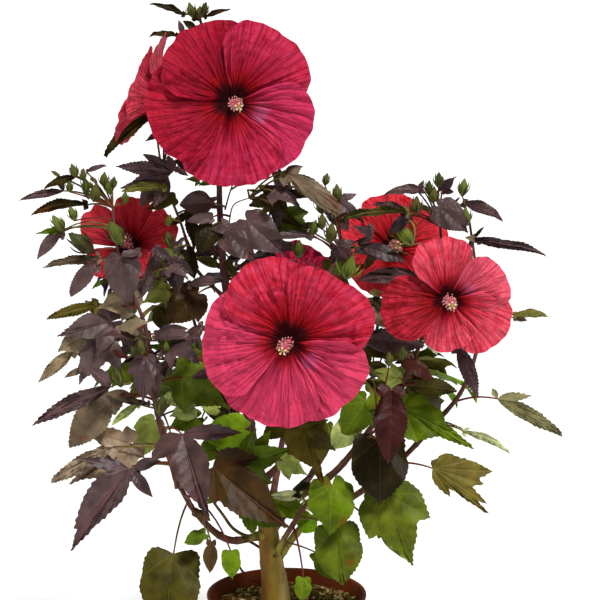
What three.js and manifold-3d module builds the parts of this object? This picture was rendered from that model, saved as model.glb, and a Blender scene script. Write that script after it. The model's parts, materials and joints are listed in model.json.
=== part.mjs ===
// Potted hibiscus shrub: a nursery pot of compost, a short trunk, a leader and spreading boughs,
// uneven solids for the masses of foliage, and a thin funnel for each large bloom.
// Millimetres, +Z up. The origin is the centre of the pot's flat underside, and -Y is the front.

import * as THREE from 'three';
import { mergeVertices } from 'three/addons/utils/BufferGeometryUtils.js';
import Module from 'manifold-3d';

// Pot: a tapered plastic wall with a collar and a rolled rim.
const POT_HEIGHT = 165;
const POT_BASE_RADIUS = 70;
const POT_COLLAR_RADIUS = 89;
const POT_COLLAR_DROP = 24;
const POT_COLLAR_STEP = 2;
const POT_RIM_RADIUS = 95;
const POT_RIM_DROP = 5;
const POT_RIM_LIP = 4;
const POT_WALL = 2.4;
const POT_FLOOR = 3;
const POT_SEGMENTS = 28;
const COLLAR_HEIGHT = POT_HEIGHT - POT_COLLAR_DROP;

// Compost and the clearance between neighbouring solids.
const SOIL_LEVEL = 150;
const SOIL_EDGE_DROP = 3;
const SOIL_SLOPE_WIDTH = 14;
const SOIL_CLEARANCE = 1.2;
const SOIL_SEGMENTS = 18;
const GAP = 0.4;

// Limbs are bent cylinders.
const LIMB_SIDES = 7;
const LIMB_STEP = 50;
const TRUNK_STEP = 17;
const FEWEST_STEPS = 3;
const ROOT_FLARE = 7;
const FLARE_HEIGHT = 16;

// Foliage masses are uneven balls drawn out from their stem end to their tip.
const MASS_DETAIL = 1;
const UNEVENNESS = 0.13;
const TIP_TAPER = 0.2;
const NECK_THICKNESS = 0.3;

// Blooms are shallow funnels with five petals, a calyx and a stalk.
const PETALS = 5;
const PETAL_SPOKES = 3;
const PETAL_THICKNESS = 3.2;
const NOTCH_DEPTH = 0.1;
const PETALS_PART_AT = 0.2;
const FUNNEL_BEND = 0.45;
const FUNNEL_BEND_DEPTH = 0.3;
const RUFFLES = 7;
const RUFFLE_HEIGHT = 3.5;
const CALYX_RADIUS = 10;
const CALYX_LENGTH = 26;
const CALYX_TAPER = 0.6;
const STALK_RADIUS = 2.6;

const COLOURS = {
  pot: 0x6b2c17,
  soil: 0x2b2016,
  bark: 0x9a8f5c,
  stem: 0x5a4436,
  purple: 0x3d2733,
  bronze: 0x6a5748,
  green: 0x4f7327,
  dark: 0x33371c,
  russet: 0x57251c,
  crimson: 0xb81c3c,
  coral: 0xc92f42,
};

// Each limb: its line from the fork to its end, and its radius at both ends.
const LIMBS = {
  trunk: {
    line: [[-13, 0, 150.3], [-14, 0, 170], [-17, 0, 195], [-20, 0, 224], [-23, 0, 262]],
    radii: [15.2, 11.5],
    flared: true,
    colour: 'bark',
  },
  leader: {
    line: [
      [-23, 0, 255], [-32, 2, 304], [-41, 6, 351], [-47, 10, 398], [-59, 10, 470],
      [-70, 10, 529], [-75, 10, 590], [-77, 10, 640], [-74, 12, 745], [-86, 14, 800], [-98, 15, 842],
    ],
    radii: [8.5, 2.6],
    colour: 'stem',
  },
  bough_left_low: {
    line: [
      [-20, -2, 238], [-43, -12, 234], [-63, -25, 237], [-82, -35, 252],
      [-100, -42, 270], [-126, -50, 316],
    ],
    radii: [5.6, 4],
    colour: 'stem',
  },
  bough_left: {
    line: [
      [-126, -50, 316], [-137, -50, 355], [-147, -50, 395], [-153, -50, 436], [-159, -48, 494],
      [-172, -45, 530], [-189, -40, 575], [-196, -34, 632],
    ],
    radii: [4, 2.2],
    colour: 'stem',
  },
  bough_right: {
    line: [[-20, 5, 250], [16, 10, 280], [60, 0, 316], [100, -20, 375], [137, -25, 432], [156, -20, 475]],
    radii: [5.4, 3.6],
    colour: 'stem',
  },
  bough_right_high: {
    line: [[156, -20, 475], [172, -12, 510], [180, -5, 555], [178, 8, 604]],
    radii: [3.6, 2.4],
    colour: 'stem',
  },
  bough_far_right: {
    line: [
      [-12, 0, 205], [5, 0, 231], [21, -5, 249], [83, -15, 290], [142, -20, 342], [183, -20, 390],
      [212, -15, 430], [224, 0, 490], [220, 8, 555], [212, 8, 608],
    ],
    radii: [5, 2.2],
    colour: 'stem',
  },
  bough_middle: {
    line: [
      [-32, 2, 297], [-4, -5, 327], [18, -25, 371], [14, -50, 430],
      [13, -62, 490], [38, -48, 540], [64, -30, 580],
    ],
    radii: [4.6, 2.4],
    colour: 'stem',
  },
  bough_front_right: {
    line: [[-14, -6, 212], [-5, -25, 237], [8, -40, 262], [42, -55, 315], [80, -68, 360], [102, -76, 384]],
    radii: [3.6, 2.2],
    colour: 'stem',
  },
  bough_front_left: {
    line: [[-32, 0, 306], [-50, -26, 324], [-70, -50, 345], [-82, -60, 356]],
    radii: [3.2, 2.2],
    colour: 'stem',
  },
  bough_upper_left: {
    line: [
      [-68, 10, 516], [-92, 4, 533], [-105, 0, 559],
      [-115, -4, 590], [-126, -8, 628], [-140, -12, 660],
    ],
    radii: [2.6, 1.8],
    colour: 'stem',
  },
  bough_back_left: {
    line: [[-24, 4, 250], [-50, 45, 300], [-85, 85, 380], [-110, 115, 460], [-130, 130, 525]],
    radii: [5, 2.4],
    colour: 'stem',
  },
  bough_back: {
    line: [[-20, 6, 252], [-10, 60, 310], [5, 115, 380], [12, 160, 440], [14, 180, 486]],
    radii: [5, 2.6],
    colour: 'stem',
  },
  bough_back_right: {
    line: [[-16, 4, 240], [25, 45, 290], [70, 85, 360], [105, 115, 440], [122, 132, 522]],
    radii: [5, 2.4],
    colour: 'stem',
  },
};

// Each bloom: the centre of its rim, the way it faces (degrees right of the front, degrees up),
// its radius, the depth of its funnel and the length of its stalk.
const BLOOMS = {
  bloom_top: {
    centre: [-59, -46, 750], turn: 12, lift: 4,
    radius: 92, cup: 22, stalk: 16, colour: 'crimson',
  },
  bloom_centre: {
    centre: [1, -130, 494], turn: -8, lift: 2,
    radius: 93, cup: 24, stalk: 18, colour: 'crimson',
  },
  bloom_right: {
    centre: [183, -85, 535], turn: 2, lift: 4,
    radius: 70, cup: 20, stalk: 32, colour: 'coral',
  },
  bloom_side: {
    centre: [-172, 12, 764], turn: -100, lift: 23,
    radius: 72, cup: 26, stalk: 52, colour: 'coral',
  },
  bloom_left: {
    centre: [-184, 8, 600], turn: -6, lift: 32,
    radius: 62, cup: 26, stalk: 34, colour: 'crimson',
  },
  bloom_right_back: {
    centre: [128, 66, 574], turn: 4, lift: 22,
    radius: 67, cup: 24, stalk: 26, colour: 'crimson',
  },
  bloom_back: {
    centre: [8, 232, 482], turn: 178, lift: 10,
    radius: 76, cup: 24, stalk: 12, colour: 'crimson',
  },
};

// Each foliage mass: the ends of its long axis, stem end first, its width across that axis,
// its depth, and the share of its length that is only a leaf stalk.
const MASSES = {
  leaves_top: { from: [-62, 15, 846], to: [-156, 10, 850], width: 26, depth: 36, colour: 'dark' },
  leaves_side_bloom: {
    from: [-78, 14, 756], to: [-202, 4, 692],
    width: 30, depth: 34, neck: 0.2, colour: 'dark',
  },
  leaves_right_upper: { from: [-76, 8, 632], to: [22, -14, 664], width: 54, depth: 48, colour: 'purple' },
  leaves_arch: { from: [8, -12, 668], to: [68, -20, 620], width: 26, depth: 26, colour: 'bronze' },
  leaves_leader: { from: [-8, -18, 562], to: [-122, -16, 618], width: 74, depth: 62, colour: 'purple' },
  leaves_upper_left: {
    from: [-112, -8, 640], to: [-194, -22, 658],
    width: 66, depth: 50, colour: 'purple',
  },
  leaves_left_top: {
    from: [-168, -14, 656], to: [-306, -18, 640],
    width: 50, depth: 76, colour: 'purple',
  },
  leaves_left_high: {
    from: [-204, -32, 566], to: [-288, -22, 570],
    width: 84, depth: 64, colour: 'purple',
  },
  leaves_left_inner: {
    from: [-112, -8, 566], to: [-206, -44, 526],
    width: 76, depth: 52, colour: 'purple',
  },
  leaves_left_mid: {
    from: [-158, -46, 496], to: [-288, -2, 432],
    width: 76, depth: 76, colour: 'bronze',
  },
  leaves_left_dark: {
    from: [-150, -52, 446], to: [-294, -82, 384],
    width: 34, depth: 28, colour: 'purple',
  },
  leaves_left_buds: {
    from: [-98, -36, 478], to: [-200, -66, 450],
    width: 74, depth: 58, colour: 'purple',
  },
  leaves_left_bronze: {
    from: [-150, -48, 424], to: [-282, -2, 310],
    width: 62, depth: 52, neck: 0.15, colour: 'bronze',
  },
  leaves_left_low: {
    from: [-138, -50, 362], to: [-242, -82, 246],
    width: 56, depth: 32, neck: 0.1, colour: 'purple',
  },
  leaves_left_front: {
    from: [-146, -54, 412], to: [-90, -106, 296],
    width: 84, depth: 36, colour: 'purple',
  },
  leaves_front: { from: [-88, -58, 362], to: [4, -86, 282], width: 56, depth: 40, colour: 'russet' },
  leaves_inner: { from: [-38, 6, 388], to: [-206, 26, 374], width: 84, depth: 44, colour: 'green' },
  leaves_centre_low: { from: [8, -34, 394], to: [54, -84, 314], width: 66, depth: 42, colour: 'dark' },
  leaves_fork: { from: [-44, -8, 292], to: [36, -16, 262], width: 38, depth: 52, colour: 'green' },
  leaves_under_right: {
    from: [156, -22, 470], to: [86, -50, 488],
    width: 38, depth: 34, colour: 'purple',
  },
  leaves_right_point: {
    from: [198, -26, 470], to: [222, -32, 410],
    width: 34, depth: 42, colour: 'purple',
  },
  leaves_russet: { from: [138, -52, 456], to: [90, -112, 350], width: 76, depth: 42, colour: 'russet' },
  leaves_right: { from: [124, -12, 408], to: [224, -12, 350], width: 60, depth: 76, colour: 'green' },
  leaves_far_right: {
    from: [206, -15, 420], to: [322, -22, 356],
    width: 34, depth: 28, neck: 0.3, colour: 'bronze',
  },
  leaves_right_side: {
    from: [148, -20, 348], to: [240, -48, 276],
    width: 50, depth: 30, neck: 0.25, colour: 'green',
  },
  leaves_right_low: { from: [96, -28, 372], to: [140, -84, 216], width: 86, depth: 54, colour: 'green' },
  leaves_low_right: { from: [40, -50, 324], to: [72, -80, 192], width: 64, depth: 44, colour: 'green' },
  leaves_low_left: {
    from: [-110, -46, 286], to: [-148, -118, 156],
    width: 66, depth: 30, neck: 0.28, colour: 'dark',
  },
  leaves_right_top: { from: [112, 28, 608], to: [254, 14, 634], width: 64, depth: 84, colour: 'purple' },
  leaves_right_long: { from: [214, 6, 592], to: [304, -20, 572], width: 26, depth: 28, colour: 'bronze' },
  leaves_middle: { from: [140, -20, 560], to: [34, -32, 602], width: 64, depth: 58, colour: 'dark' },
  leaves_back_high: { from: [-76, 2, 535], to: [12, 150, 560], width: 74, depth: 60, colour: 'purple' },
  leaves_back_left_high: {
    from: [-104, 92, 500], to: [-226, 140, 562],
    width: 78, depth: 62, colour: 'purple',
  },
  leaves_back_left: {
    from: [-92, 84, 396], to: [-236, 150, 424],
    width: 84, depth: 60, colour: 'bronze',
  },
  leaves_back: { from: [-6, 80, 362], to: [36, 236, 440], width: 84, depth: 84, colour: 'green' },
  leaves_back_right_high: {
    from: [86, 100, 500], to: [200, 160, 562],
    width: 78, depth: 62, colour: 'purple',
  },
  leaves_back_right: { from: [74, 84, 372], to: [228, 148, 424], width: 84, depth: 60, colour: 'green' },
};

const wasm = await Module();
wasm.setup();
const group = new THREE.Group();
const placed = [];

// A closed solid with its shared vertices merged, ready for joining and cutting.
function solidOf(geometry) {
  const bare = geometry.clone();
  bare.deleteAttribute('normal');
  bare.deleteAttribute('uv');
  const merged = mergeVertices(bare, 1e-4);
  const mesh = new wasm.Mesh({
    numProp: 3,
    vertProperties: new Float32Array(merged.attributes.position.array),
    triVerts: new Uint32Array(merged.index.array),
  });
  return new wasm.Manifold(mesh);
}

function geometryOf(solid) {
  const mesh = solid.getMesh();
  const geometry = new THREE.BufferGeometry();
  geometry.setAttribute('position', new THREE.BufferAttribute(mesh.vertProperties, 3));
  geometry.setIndex(new THREE.BufferAttribute(mesh.triVerts, 1));
  geometry.computeVertexNormals();
  return geometry;
}

function addMesh(name, geometry, colour, roughness) {
  const material = new THREE.MeshStandardMaterial({ color: COLOURS[colour], roughness, metalness: 0 });
  const mesh = new THREE.Mesh(geometry, material);
  mesh.name = name;
  group.add(mesh);
}

// Moves every vertex of a geometry by a function of its place.
function reshape(geometry, move) {
  const positions = geometry.attributes.position;
  const vertex = new THREE.Vector3();
  for (let i = 0; i < positions.count; i += 1) {
    move(vertex.fromBufferAttribute(positions, i));
    positions.setXYZ(i, vertex.x, vertex.y, vertex.z);
  }
  return geometry;
}

// The wall of the pot, closed on the axis at its underside and its floor.
function potGeometry() {
  const underRim = POT_HEIGHT - POT_RIM_DROP;
  const profile = [
    [0, 0], [POT_BASE_RADIUS, 0],
    [POT_COLLAR_RADIUS - POT_COLLAR_STEP, COLLAR_HEIGHT],
    [POT_COLLAR_RADIUS, COLLAR_HEIGHT + POT_COLLAR_STEP],
    [POT_RIM_RADIUS - POT_RIM_LIP + 1, underRim], [POT_RIM_RADIUS, underRim + 1],
    [POT_RIM_RADIUS, POT_HEIGHT], [POT_RIM_RADIUS - POT_RIM_LIP, POT_HEIGHT],
    [innerRadius(COLLAR_HEIGHT), COLLAR_HEIGHT], [innerRadius(POT_FLOOR), POT_FLOOR], [0, POT_FLOOR],
  ];
  return turned(profile, POT_SEGMENTS);
}

// The radius of the pot's inner wall at a height.
function innerRadius(height) {
  const atFloor = POT_BASE_RADIUS - POT_WALL;
  const atCollar = POT_COLLAR_RADIUS - POT_COLLAR_STEP - POT_WALL;
  const atTop = POT_RIM_RADIUS - POT_RIM_LIP;
  if (height < COLLAR_HEIGHT) {
    return THREE.MathUtils.mapLinear(height, POT_FLOOR, COLLAR_HEIGHT, atFloor, atCollar);
  }
  return THREE.MathUtils.mapLinear(height, COLLAR_HEIGHT, POT_HEIGHT, atCollar, atTop);
}

// Compost fills the pot and stands a little higher in the middle than at the wall.
function soilGeometry() {
  const edge = SOIL_LEVEL - SOIL_EDGE_DROP;
  const profile = [
    [0, POT_FLOOR + GAP], [innerRadius(POT_FLOOR) - SOIL_CLEARANCE, POT_FLOOR + GAP],
    [innerRadius(COLLAR_HEIGHT) - SOIL_CLEARANCE, COLLAR_HEIGHT],
    [innerRadius(edge) - SOIL_CLEARANCE, edge],
    [innerRadius(edge) - SOIL_SLOPE_WIDTH, SOIL_LEVEL], [0, SOIL_LEVEL],
  ];
  return turned(profile, SOIL_SEGMENTS);
}

// A profile of [radius, height] turned about the upright axis.
function turned(profile, segments) {
  const points = profile.map(([radius, height]) => new THREE.Vector2(radius, height));
  return new THREE.LatheGeometry(points, segments).rotateX(Math.PI / 2);
}

// A tapering limb: a cylinder bent along its line. The trunk also flares to a level foot.
function limbGeometry(limb, grow) {
  const curve = new THREE.CatmullRomCurve3(limb.line.map((point) => new THREE.Vector3(...point)));
  const length = curve.getLength();
  const steps = Math.max(FEWEST_STEPS, Math.round(length / (limb.flared ? TRUNK_STEP : LIMB_STEP)));
  const frames = curve.computeFrenetFrames(steps);
  const [start, end] = limb.radii;
  const cylinder = new THREE.CylinderGeometry(end + grow, start + grow, 1, LIMB_SIDES, steps);
  return reshape(cylinder, (vertex) => {
    const share = vertex.y + 0.5;
    const step = Math.round(share * steps);
    const along = share * length;
    const across = new THREE.Vector2(vertex.x, vertex.z);
    const flare = limb.flared ? ROOT_FLARE * Math.exp(-along / FLARE_HEIGHT) : 0;
    const stretch = 1 + flare / start;
    const normal = frames.normals[step].clone().multiplyScalar(across.x * stretch);
    const binormal = frames.binormals[step].clone().multiplyScalar(-across.y * stretch);
    const centre = curve.getPointAt(share).addScaledVector(frames.tangents[step], (share - 0.5) * 2 * grow);
    vertex.copy(centre).add(normal).add(binormal);
    if (limb.flared && step === 0) {
      vertex.z = centre.z;
    }
  });
}

// The unit axes of a piece that points along a direction and keeps its last axis as upright as it can.
function axesAlong(direction) {
  const x = direction.clone().normalize();
  const z = new THREE.Vector3(0, 0, 1);
  if (Math.abs(x.z) > 0.98) {
    z.set(1, 0, 0);
  }
  z.addScaledVector(x, -x.dot(z)).normalize();
  return new THREE.Matrix4().makeBasis(x, new THREE.Vector3().crossVectors(z, x), z);
}

// A foliage mass: a ball stretched along its axis, swollen by waves of its own, slimmer towards
// its tip, and drawn in to a leaf stalk over its neck.
function massGeometry(mass, grow) {
  const from = new THREE.Vector3(...mass.from);
  const to = new THREE.Vector3(...mass.to);
  const length = from.distanceTo(to);
  const ball = new THREE.IcosahedronGeometry(1, MASS_DETAIL);
  const phase = mass.from[0] * 0.7 + mass.from[2] * 0.3;
  const neckEnd = -1 + 2 * (mass.neck ?? 0);
  reshape(ball, (vertex) => {
    const longWave = Math.sin(3.1 * vertex.x + 2 * vertex.z + phase);
    const crossWave = Math.sin(4.3 * vertex.y - 3.7 * vertex.z + 2 * phase);
    const swell = 1 + UNEVENNESS * (longWave + crossWave);
    const slim = (1 - TIP_TAPER * vertex.x) * (vertex.x < neckEnd ? NECK_THICKNESS : 1);
    vertex.x *= length / 2 + grow;
    vertex.y *= (mass.depth / 2) * swell * slim + grow;
    vertex.z *= (mass.width / 2) * swell * slim + grow;
  });
  const middle = from.clone().add(to).multiplyScalar(0.5);
  return ball.applyMatrix4(axesAlong(to.clone().sub(from)).setPosition(middle));
}

// A bloom: a turned funnel whose rim is notched between its petals and ruffled, with a calyx
// and a stalk behind it.
function bloomGeometry(bloom, grow) {
  const { radius, cup, stalk } = bloom;
  const half = PETAL_THICKNESS / 2 + grow;
  const back = -cup - half;
  const calyxFoot = back - CALYX_LENGTH;
  const stalkFoot = calyxFoot - stalk;
  const bend = -cup * FUNNEL_BEND_DEPTH;
  const profile = [
    [0, half - cup], [radius * FUNNEL_BEND, bend + half], [radius + grow, half],
    [radius + grow, -half], [radius * FUNNEL_BEND, bend - half],
    [CALYX_RADIUS + grow, back + PETAL_THICKNESS], [CALYX_RADIUS * CALYX_TAPER + grow, calyxFoot],
    [STALK_RADIUS + grow, stalkFoot], [0, stalkFoot],
  ];
  const points = profile.map(([across, along]) => new THREE.Vector2(across, along)).reverse();
  const funnel = new THREE.LatheGeometry(points, PETALS * PETAL_SPOKES);
  reshape(funnel, (vertex) => {
    const across = Math.hypot(vertex.x, vertex.z);
    const around = Math.atan2(vertex.z, vertex.x);
    const spread = Math.max(0, across / radius - PETALS_PART_AT);
    const petal = Math.abs(Math.cos((around * PETALS) / 2));
    const reach = 1 - NOTCH_DEPTH * spread * (1 - petal);
    const ruffle = RUFFLE_HEIGHT * spread * Math.sin(around * RUFFLES + radius);
    vertex.set(vertex.x * reach, vertex.y + ruffle, vertex.z * reach);
  });
  const turn = THREE.MathUtils.degToRad(bloom.turn);
  const lift = THREE.MathUtils.degToRad(bloom.lift);
  const facing = new THREE.Vector3(Math.sin(turn), -Math.cos(turn), 0);
  facing.multiplyScalar(Math.cos(lift)).setZ(Math.sin(lift));
  const upright = new THREE.Quaternion().setFromUnitVectors(new THREE.Vector3(0, 1, 0), facing);
  return funnel.applyQuaternion(upright).translate(...bloom.centre);
}

function largestPiece(solid) {
  return solid.decompose().reduce((a, b) => (b.volume() > a.volume() ? b : a));
}

function boxesMeet(a, b) {
  return [0, 1, 2].every((axis) => a.min[axis] < b.max[axis] && b.min[axis] < a.max[axis]);
}

// Places a piece, cut back by the grown shape of everything already there that it meets.
function place(name, shape, colour, roughness) {
  let solid = solidOf(shape(0));
  for (const grown of placed) {
    if (boxesMeet(solid.boundingBox(), grown.boundingBox())) {
      solid = largestPiece(solid.subtract(grown));
    }
  }
  addMesh(name, geometryOf(solid), colour, roughness);
  placed.push(solidOf(shape(GAP)));
}

addMesh('pot', potGeometry(), 'pot', 0.55);
addMesh('soil', soilGeometry(), 'soil', 0.95);

for (const [name, limb] of Object.entries(LIMBS)) {
  place(name, (grow) => limbGeometry(limb, grow), limb.colour, 0.75);
}
for (const [name, bloom] of Object.entries(BLOOMS)) {
  place(name, (grow) => bloomGeometry(bloom, grow), bloom.colour, 0.6);
}
for (const [name, mass] of Object.entries(MASSES)) {
  place(name, (grow) => massGeometry(mass, grow), mass.colour, 0.8);
}

export default group;
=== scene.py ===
"""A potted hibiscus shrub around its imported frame: the pot and compost, bark on the trunk and
boughs, and the shoots, leaves, buds and blooms that grow on from them. Metres throughout."""

import json
import math
from typing import NamedTuple

import bpy
import numpy as np
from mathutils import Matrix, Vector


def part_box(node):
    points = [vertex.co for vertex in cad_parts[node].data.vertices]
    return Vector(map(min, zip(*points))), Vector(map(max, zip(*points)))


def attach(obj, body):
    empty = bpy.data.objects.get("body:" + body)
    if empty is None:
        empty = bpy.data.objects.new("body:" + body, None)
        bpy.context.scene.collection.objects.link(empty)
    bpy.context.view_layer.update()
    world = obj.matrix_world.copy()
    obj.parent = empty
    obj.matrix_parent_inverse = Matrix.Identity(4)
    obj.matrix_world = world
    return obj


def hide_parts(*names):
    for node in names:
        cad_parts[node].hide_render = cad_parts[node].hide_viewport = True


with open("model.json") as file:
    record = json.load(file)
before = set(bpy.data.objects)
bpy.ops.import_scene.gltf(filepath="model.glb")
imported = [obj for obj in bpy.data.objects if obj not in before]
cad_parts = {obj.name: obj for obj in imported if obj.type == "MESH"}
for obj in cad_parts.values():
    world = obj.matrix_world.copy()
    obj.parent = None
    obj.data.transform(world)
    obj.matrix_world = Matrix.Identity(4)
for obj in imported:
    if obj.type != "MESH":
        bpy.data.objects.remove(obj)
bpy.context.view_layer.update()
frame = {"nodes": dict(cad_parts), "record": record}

MM = 0.001
RIGHT = np.array([1.0, 0.0, 0.0])
FRONT = np.array([0.0, -1.0, 0.0])
UP = np.array([0.0, 0.0, 1.0])
GOLDEN_TURN = math.radians(137.5)
COMPOST_SEED, BUMP_SEED, TRUNK_SEED, BOUGH_SEED, LEAF_SEED, BLOOM_SEED = 5, 3, 11, 12, 21, 40

# Camera and light: degrees, millimetres of lens and sensor, and strengths.
CAMERA_PLACE = (0.016, -2.2, 0.922)
CAMERA_PITCH = 10.37
CAMERA_LENS = 115.8
SENSOR = 36.0
FLOOR_RADIUS = 60.0
FLOOR_GLOW = 0.6
WORLD_LIGHT = 0.28
# Each sun: its name, strength, tilt and turn, and how wide it looks (degrees).
SUNS = (("key", 3.3, 34, 34, 12), ("fill", 0.4, 55, -60, 50))

# Pot and compost: counts, and heights and widths in metres.
POT_SIDES = 144
POT_CORNER = 1.2 * MM
POT_HOLLOW = 1.6 * MM  # under the middle of the base
POT_FOOT = 6 * MM  # the width of the ring that the pot stands on
CRUMBS = 900
CHIPS = 520
COMPOST_RINGS = 46
COMPOST_SIDES = 120
COMPOST_RISE = 1.2 * MM
COMPOST_BUMPS = 0.9 * MM
COMPOST_SAG = 3.0 * MM
COMPOST_SKIRT = 5 * MM

# Limbs and shoots: counts, and lengths in metres.
RING_GAP = 6 * MM  # the least distance between a solid's rings
LIMB_SIDES = 7  # the corners of each of them
PATH_STEP = 3 * MM
JOINT_DEPTH = 8 * MM  # how far a limb starts inside the wood that carries it
TRUNK_SIDES = 56
TRUNK_STEP = 1.6 * MM
# Each leaf scar of the trunk: its height (m), its place round the trunk (radians) and its size.
TRUNK_SCARS = ((0.034, 4.4, 0.12), (0.052, 1.3, 0.1), (0.079, 5.6, 0.12), (0.1, 3.0, 0.1))
BOUGH_SIDES = 18
BOUGH_SLIMNESS = (0.95, 0.65)  # by the solid's radius, at the foot and at the tip
GREEN_FOOTED = {"bough_left_low", "bough_far_right", "bough_front_right", "bough_right"}
LEAF_SCAR_SPACING = 26 * MM
STALK_THICKNESS = 1.15 * MM
BUD_STALK_THICKNESS = 0.95 * MM
STALK_STEPS, STALK_SIDES = 9, 6
STALK_TAPER = (1.25, 0.8)
SHOOT_STEPS, SHOOT_SIDES = 16, 7
SHOOT_RADII = (1.9, 1.1)  # at the foot and at the tip, mm
SIDE_SHOOT_SIDES = 9
SHOOT_REACH = 0.62  # of the way to the mass's furthest corner

# Leaves: the columns, rows and tooth size of those that are listed and of those that are not.
LISTED_BLADE = (83, 6, 0.009)
OTHER_BLADE = (39, 4, 0.016)
LEAF_WAIT = 8  # attempts for each leaf that is wanted
OTHER_STALKS = (16, 36)  # the shortest and the longest stalk of those that are not listed, mm
OTHER_LENGTHS = (44, 74)  # and of their middle lobes, mm
OTHER_CURL = 36  # degrees
LEAST_LENGTH = 0.55  # by the wanted length, of a leaf that the mass's box cuts short
BOX_EDGE = 0.08  # how far from the box's sides a junction stays, as a share of the box
LATER_LEAVES = 6  # of each mass behind, after all the others are grown

# The space before a bloom that leaves keep clear of: its radius by the bloom's, and its depths
# behind and before the rim (m).
CLEAR_RADIUS = 0.97
CLEAR_DEPTHS = (-0.012, 0.16)

# Directions in which a blade's edge is found, and the furthest from its middle rib (degrees).
EDGE_DIRECTIONS = 900
LAST_DIRECTION = 174
# The shares of the middle lobe over which a leaf is bent, and the steps of the bend.
BEND_SPAN = (-0.6, 1.15)
BEND_STEPS = 90

# Petals, their relief as shares of the bloom's radius, and the runs of their blisters (mm).
PETAL_ROWS = 56
PETAL_COLUMNS = 88
PETAL_VEINS = 9
THROAT = 3.5 * MM
FURTHEST_EDGE = 1.1  # by the bloom's radius
OVERLAP = 0.06
PLEATS = 0.014
CRINKLES = 0.011
VEIN_GROOVES = 0.014
FINE_GROOVES = 0.008
BLISTERS = 0.12
BLISTER_RUNS = (9.5, 11)
RUFFLE = 0.035

# Columns, buds and calyxes.
COLUMN_STEPS, COLUMN_SIDES = 14, 12
THREADS = 46
ARMS = 5
BUD_ROWS, BUD_COLUMNS = 11, 20
BUD_RIDGES = 5
BUD_BRACTS = 9
BUD_LEAN = 12  # degrees forwards
SEPALS = 5
BLOOM_BRACTS = 10
BLOOM_STALK_SIDES = 12
CALYX_DEPTH = 20 * MM


class BloomPlan(NamedTuple):
    """How a bloom is made. Petals are numbered from 0 in the order of their list."""

    turn: float  # the way it faces: degrees to the right of the front
    lift: float  # and degrees upwards
    petals: tuple  # each one's degrees anticlockwise from its right, and reach by the radius
    spread: float  # half the spread of a petal, degrees
    corner: float  # how round a petal's outer corners are
    ruffle: float  # how strongly the edge is ruffled
    cup: float  # how deep the funnel is, as a share of the radius
    dye: str  # the row of DYES
    painted_sheen: tuple = ()  # the petals with a painted sheen by the eye: a pale patch painted as a reflection
    lit_rosy: tuple = ()  # the rosy petals: pinker, and painted lighter as if more lit
    deep_tint_and_shade: tuple = ()  # the petals painted a deeper red as shade
    foot: float = 0.74  # how wide a petal is at its foot, as a share of the spread
    reflex: float = 0.08  # how far the edge bends back, as a share of the radius
    relief: float = 1.0  # how strong the pleats, grooves and blisters are
    blisters: float = 0.35  # how high the scattered blisters are
    blister_patches: dict = {}  # by petal, the place of a high patch across and along it
    eye_shade_rise: float = 0.0  # how much further the dark eye reaches on the upper petals, as painted shade of the deep throat
    shift: tuple = (0, 0, 0)  # from the solid's rim to its right, up and forwards, mm


BLOOMS = {
    "bloom_top": BloomPlan(
        turn=12, lift=4, petals=((124, 1.05), (52, 1.03), (-26, 1.02), (-90, 1.04), (-166, 1.05)),
        spread=50, corner=0.1, ruffle=1.0, cup=0.26, painted_sheen=(2,), deep_tint_and_shade=(0, 4), dye="crimson",
        eye_shade_rise=0.1,
    ),
    "bloom_centre": BloomPlan(
        turn=-8, lift=2, petals=((108, 1.04), (38, 1.07), (-42, 1.05), (-106, 1.06), (182, 1.07)),
        spread=50, corner=0.1, ruffle=1.2, cup=0.26, painted_sheen=(2,), lit_rosy=(3, 4), dye="rose",
        blister_patches={0: (-0.05, 0.64), 1: (-0.5, 0.82), 4: (-0.4, 0.76)}, eye_shade_rise=0.14,
    ),
    "bloom_right": BloomPlan(
        turn=2, lift=4, petals=((101, 1.02), (21, 0.98), (-31, 1.08), (-94, 0.83), (190, 1.1)),
        spread=45, corner=0.2, ruffle=1.8, cup=0.3, painted_sheen=(1,), deep_tint_and_shade=(4,), dye="coral",
        foot=1.0,
    ),
    "bloom_side": BloomPlan(
        turn=-100, lift=23, petals=((90, 1), (18, 1), (-54, 1), (-126, 1), (162, 1)),
        spread=50, corner=0.05, ruffle=0.5, cup=0.5, painted_sheen=(), dye="lit_coral", reflex=0.02,
        shift=(0, 0, -8), relief=0.4, blisters=0.1,
    ),
    "bloom_left": BloomPlan(
        turn=-6, lift=32, petals=((82, 0.9), (14, 1), (-62, 0.95), (-134, 0.96), (156, 1)),
        spread=36, corner=0.18, ruffle=1.6, cup=0.5, painted_sheen=(2, 4), dye="scarlet", reflex=0.02,
        shift=(0, -10, 0),
    ),
    "bloom_right_back": BloomPlan(
        turn=4, lift=22, petals=((96, 1), (24, 1), (-48, 1), (-120, 1), (168, 1)),
        spread=44, corner=0.12, ruffle=1.3, cup=0.35, painted_sheen=(), dye="scarlet",
    ),
    "bloom_back": BloomPlan(
        turn=178, lift=10, petals=((90, 1), (18, 0.98), (-54, 1), (-126, 0.97), (162, 1)),
        spread=48, corner=0.1, ruffle=1.0, cup=0.28, painted_sheen=(1,), dye="crimson",
    ),
}

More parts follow.
